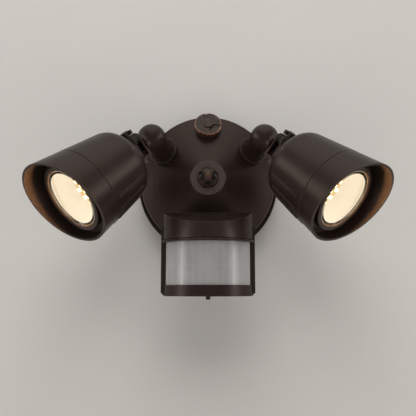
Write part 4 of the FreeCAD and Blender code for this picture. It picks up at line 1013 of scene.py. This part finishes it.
class LIGHT_OT_lamp_inside(bpy.types.Operator):
    """Light up the reflectors, LED boards and chips and finish what carries them"""

    bl_idname = "security_light.light_lamp_inside"
    bl_label = "Light up the lamps"

    def execute(self, context):
        settings = context.scene.light_lamps
        phosphor = lit_phosphor("lit_phosphor", settings.chip_strength)
        traces, lit = (0.28, 0.18, 0.08), (0.62, 0.36, 0.11)
        board = circuit_board("white_led_board", (0.34, 0.22, 0.10), traces, glow=lit)
        aluminium = bare_aluminium("bare_cast_aluminium")
        potting = potting_resin("potting_resin")
        glow, strength = tuple(settings.glow), settings.glow_strength
        for side in SIDES:
            direction, centre = lamp_axis(side)
            reflector = lit_reflector(f"{side}_lit_reflector", glow, strength, direction, centre)
            coat(reflector, f"{side}_reflector")
            coat(board, f"{side}_led_board")
            self.chips(side, settings, direction, centre, phosphor)
            coat(aluminium, f"{side}_heat_spreader")
            coat(potting, f"{side}_driver")
            self.spill(side, settings, direction, centre)
        return {"FINISHED"}

    def chips(self, side, settings, direction, centre, phosphor):
        """A ring of small domed LED packages on the board."""
        heights = (points_of(f"{side}_led_chips") - np.array(centre)) @ np.array(direction)
        foot, top = float(heights.min()), float(heights.max())
        # A dome's corners: radius in millimetres and share of its height.
        dome = ((0.0, 0.0), (1.5, 0.0), (1.5, 0.45), (1.36, 0.72), (0.95, 0.93), (0.0, 1.0))
        profile = [(radius * MM, foot + (top - foot) * share) for radius, share in dome]
        axis = frame_along(direction, centre)
        ring, count = settings.chip_ring, settings.chip_count

        def make(builder):
            for angle in (math.tau * (k + 0.5) / count for k in range(count)):
                middle = Matrix.Translation((ring * math.cos(angle), ring * math.sin(angle), 0))
                turned(profile, axis @ middle, 28)(builder)

        new_piece(f"{side}_led_ring", make, phosphor, f"{side}_head", "led_phosphor", f"{side}_led_chips")

    def spill(self, side, settings, direction, centre):
        """The light that a lamp throws on the inside of its hood."""
        near = each((side,), "hood", "bezel", "housing")
        lit = linked(f"{side}_lit_by_lamp", *(NODES[name] for name in near))
        size, behind_lens = 30 * MM, 15.2 * MM
        power, colour = settings.spill_power, (1.0, 0.71, 0.34)
        holder = area_light(f"{side}_lamp_spill", "DISK", (size, size), power, colour, lit)
        holder.visible_transmission = holder.visible_glossy = False
        turn = (-direction).to_track_quat("Z", "Y").to_matrix().to_4x4()
        holder.matrix_world = Matrix.Translation(centre - direction * behind_lens) @ turn
        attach(holder, f"{side}_head")


class LIGHT_OT_stage(bpy.types.Operator):
    """Set the pale wall and floor, the soft studio lights and the camera"""

    bl_idname = "security_light.set_stage"
    bl_label = "Set the stage"

    def backdrop_finish(self, colour):
        """Matt wall paint, clear from behind and to shadow rays."""
        finish = Finish("pale_backdrop")
        place = finish.place()
        clouds = finish.noise(place, 0.12, 3.0)
        fine = finish.noise(place, 0.0030, 3.0, 0.6)
        paint = finish.principled(
            Base_Color=finish.mix(clouds, scaled(colour, 0.97), scaled(colour, 1.03)),
            Roughness=0.9,
            Specular_IOR_Level=0.1,
            Normal=finish.bump(fine, 0.0004, 0.25),
        )
        behind = finish.node("ShaderNodeNewGeometry", output="Backfacing")
        shadow = finish.node("ShaderNodeLightPath", output="Is Shadow Ray")
        clear = finish.node("ShaderNodeBsdfTransparent")
        either = 1 - (1 - behind) * (1 - shadow)
        shown = finish.node("ShaderNodeMixShader", None, {0: either, 1: paint, 2: clear})
        finish.node("ShaderNodeOutputMaterial", None, {"Surface": shown})
        return finish.material

    def sweep(self, settings):
        """Wall and floor in one sheet with a rounded corner, seen only from the front."""
        bend, reach = 0.12, 3.0
        wall, floor = 0.4 * MM, -settings.floor_drop
        outline = [(wall, reach)]
        for k in range(13):
            angle = math.pi / 2 * k / 12
            forward, down = bend * (1 - math.cos(angle)), bend * math.sin(angle)
            outline.append((wall - forward, floor + bend - down))
        outline.append((-reach, floor))
        mesh = bpy.data.meshes.new("backdrop")
        points = [(x, y, z) for y, z in outline for x in (-reach, reach)]
        faces = [(2 * k, 2 * k + 1, 2 * k + 3, 2 * k + 2) for k in range(len(outline) - 1)]
        mesh.from_pydata(points, [], faces)
        for polygon in mesh.polygons:
            polygon.use_smooth = True
        if mesh.polygons[0].normal.y > 0:
            mesh.flip_normals()
        mesh.materials.append(self.backdrop_finish(tuple(settings.backdrop)))
        sheet = bpy.data.objects.new("backdrop", mesh)
        bpy.context.scene.collection.objects.link(sheet)
        return sheet

    def air(self, scene):
        """A soft even light, and a pale tone where eyes, mirrors and glass look past the backdrop."""
        scene.world = bpy.data.worlds.new("studio_air")
        air = Graph(scene.world)
        rays = ("Is Camera Ray", "Is Glossy Ray", "Is Transmission Ray")
        seen, mirrored, through = (air.node("ShaderNodeLightPath", output=ray) for ray in rays)
        shown = 1 - (1 - seen) * (1 - mirrored) * (1 - through)
        soft = air.node("ShaderNodeBackground", None, {"Color": (1.0, 0.97, 0.94, 1), "Strength": 0.25})
        pale = air.node("ShaderNodeBackground", None, {"Color": (0.55, 0.54, 0.53, 1)})
        both = air.node("ShaderNodeMixShader", None, {0: shown, 1: soft, 2: pale})
        air.node("ShaderNodeOutputWorld", None, {"Surface": both})

    def softbox(self, name, place, target, size, power, lights=None):
        """A soft light at a place, turned to its target."""
        holder = area_light(name, "RECTANGLE", size, power, LIGHT_COLOUR, lights)
        holder.location = place
        holder.rotation_euler = (Vector(place) - Vector(target)).to_track_quat("Z", "Y").to_euler()
        return holder

    def lights(self, settings, backdrop):
        """A tall, a high and a narrow light at each side, and one above, in front and behind.

        The narrow pair reaches only the sensor's hood. The backdrop has a light of its own, and
        of the others only the top and front ones reach it, so that it keeps the object's shadow.
        """
        all_but_backdrop = linked("lit_object", backdrop)
        all_but_backdrop.collection_objects[0].light_linking.link_state = "EXCLUDE"
        backdrop_only = linked("lit_backdrop", backdrop)
        middle = (0.0, -0.06, -0.02)
        side, top = settings.softbox_power, settings.top_power
        for name, sign in (("left", -1), ("right", 1)):
            place = (0.96 * sign, -0.50, -0.22)
            self.softbox(f"{name}_softbox", place, middle, (0.26, 1.10), side, all_but_backdrop)
            place = (1.0 * sign, -0.10, 0.36)
            self.softbox(f"{name}_high_light", place, middle, (0.35, 0.45), side * 0.5, all_but_backdrop)
            lit_hood = linked(f"{name}_lit_hood", NODES["sensor_hood"])
            place, hood = (0.51 * sign, -0.43, 0.03), (0.025 * sign, -0.085, -0.045)
            sheen = self.softbox(f"{name}_hood_light", place, hood, (0.06, 0.5), side * 0.34, lit_hood)
            sheen.light_linking.blocker_collection = lit_hood
        self.softbox("top_softbox", (0.0, -0.30, 1.20), middle, (1.6, 0.9), top)
        self.softbox("front_softbox", (0.0, -1.20, 1.20), middle, (1.2, 0.8), side * 1.1)
        self.softbox("wall_softbox", (0.0, -1.6, 2.2), middle, (2.5, 2.5), top * 6.5, backdrop_only)
        self.softbox("back_softbox", (0.0, 1.10, 0.25), middle, (0.8, 0.8), side * 2.2, all_but_backdrop)

    def camera(self, scene, settings):
        """The camera of the photograph's view, a little below the light and tilted up."""
        camera = bpy.data.cameras.new("camera")
        camera.lens, camera.sensor_width = 50.0, 36.0
        camera.clip_start, camera.clip_end = 0.01, 20.0
        holder = bpy.data.objects.new("camera", camera)
        scene.collection.objects.link(holder)
        holder.location = (0.0, -settings.camera_distance, -settings.camera_drop)
        holder.rotation_euler = (math.pi / 2 + settings.camera_pitch, 0.0, 0.0)
        scene.camera = holder

    def execute(self, context):
        scene = context.scene
        settings = scene.light_studio
        scene.view_settings.view_transform = "Standard"
        self.lights(settings, self.sweep(settings))
        self.air(scene)
        self.camera(scene, settings)
        return {"FINISHED"}


STEPS = (
    LIGHT_OT_stage,
    LIGHT_OT_castings,
    LIGHT_OT_fasteners,
    LIGHT_OT_caps,
    LIGHT_OT_gaskets,
    LIGHT_OT_knobs,
    LIGHT_OT_lamp_lenses,
    LIGHT_OT_lamp_inside,
    LIGHT_OT_sensor_shell,
    LIGHT_OT_sensor_inside,
    LIGHT_OT_sensor_window,
)


class LIGHT_PT_panel(bpy.types.Panel):
    """Lists the steps that dress the light, in their order"""

    bl_idname = "LIGHT_PT_panel"
    bl_label = "Security Light"
    bl_space_type = "VIEW_3D"
    bl_region_type = "UI"
    bl_category = "Security Light"

    def draw(self, context):
        for step in STEPS:
            self.layout.operator(step.bl_idname)
        for group in SETTINGS:
            settings = getattr(context.scene, group)
            box = self.layout.box()
            for name in settings.__annotations__:
                box.prop(settings, name)


SETTINGS = {
    "light_finishes": FinishSettings,
    "light_lamps": LampSettings,
    "light_window": WindowSettings,
    "light_studio": StudioSettings,
}
CLASSES = (*SETTINGS.values(), *STEPS, LIGHT_PT_panel)


def register():
    for made in CLASSES:
        bpy.utils.register_class(made)
    for name, group in SETTINGS.items():
        setattr(bpy.types.Scene, name, PointerProperty(type=group))


def unregister():
    for name in SETTINGS:
        delattr(bpy.types.Scene, name)
    for made in reversed(CLASSES):
        bpy.utils.unregister_class(made)


def main():
    register()
    for step in STEPS:
        category, name = step.bl_idname.split(".")
        getattr(getattr(bpy.ops, category), name)()


if __name__ == "__main__":
    main()
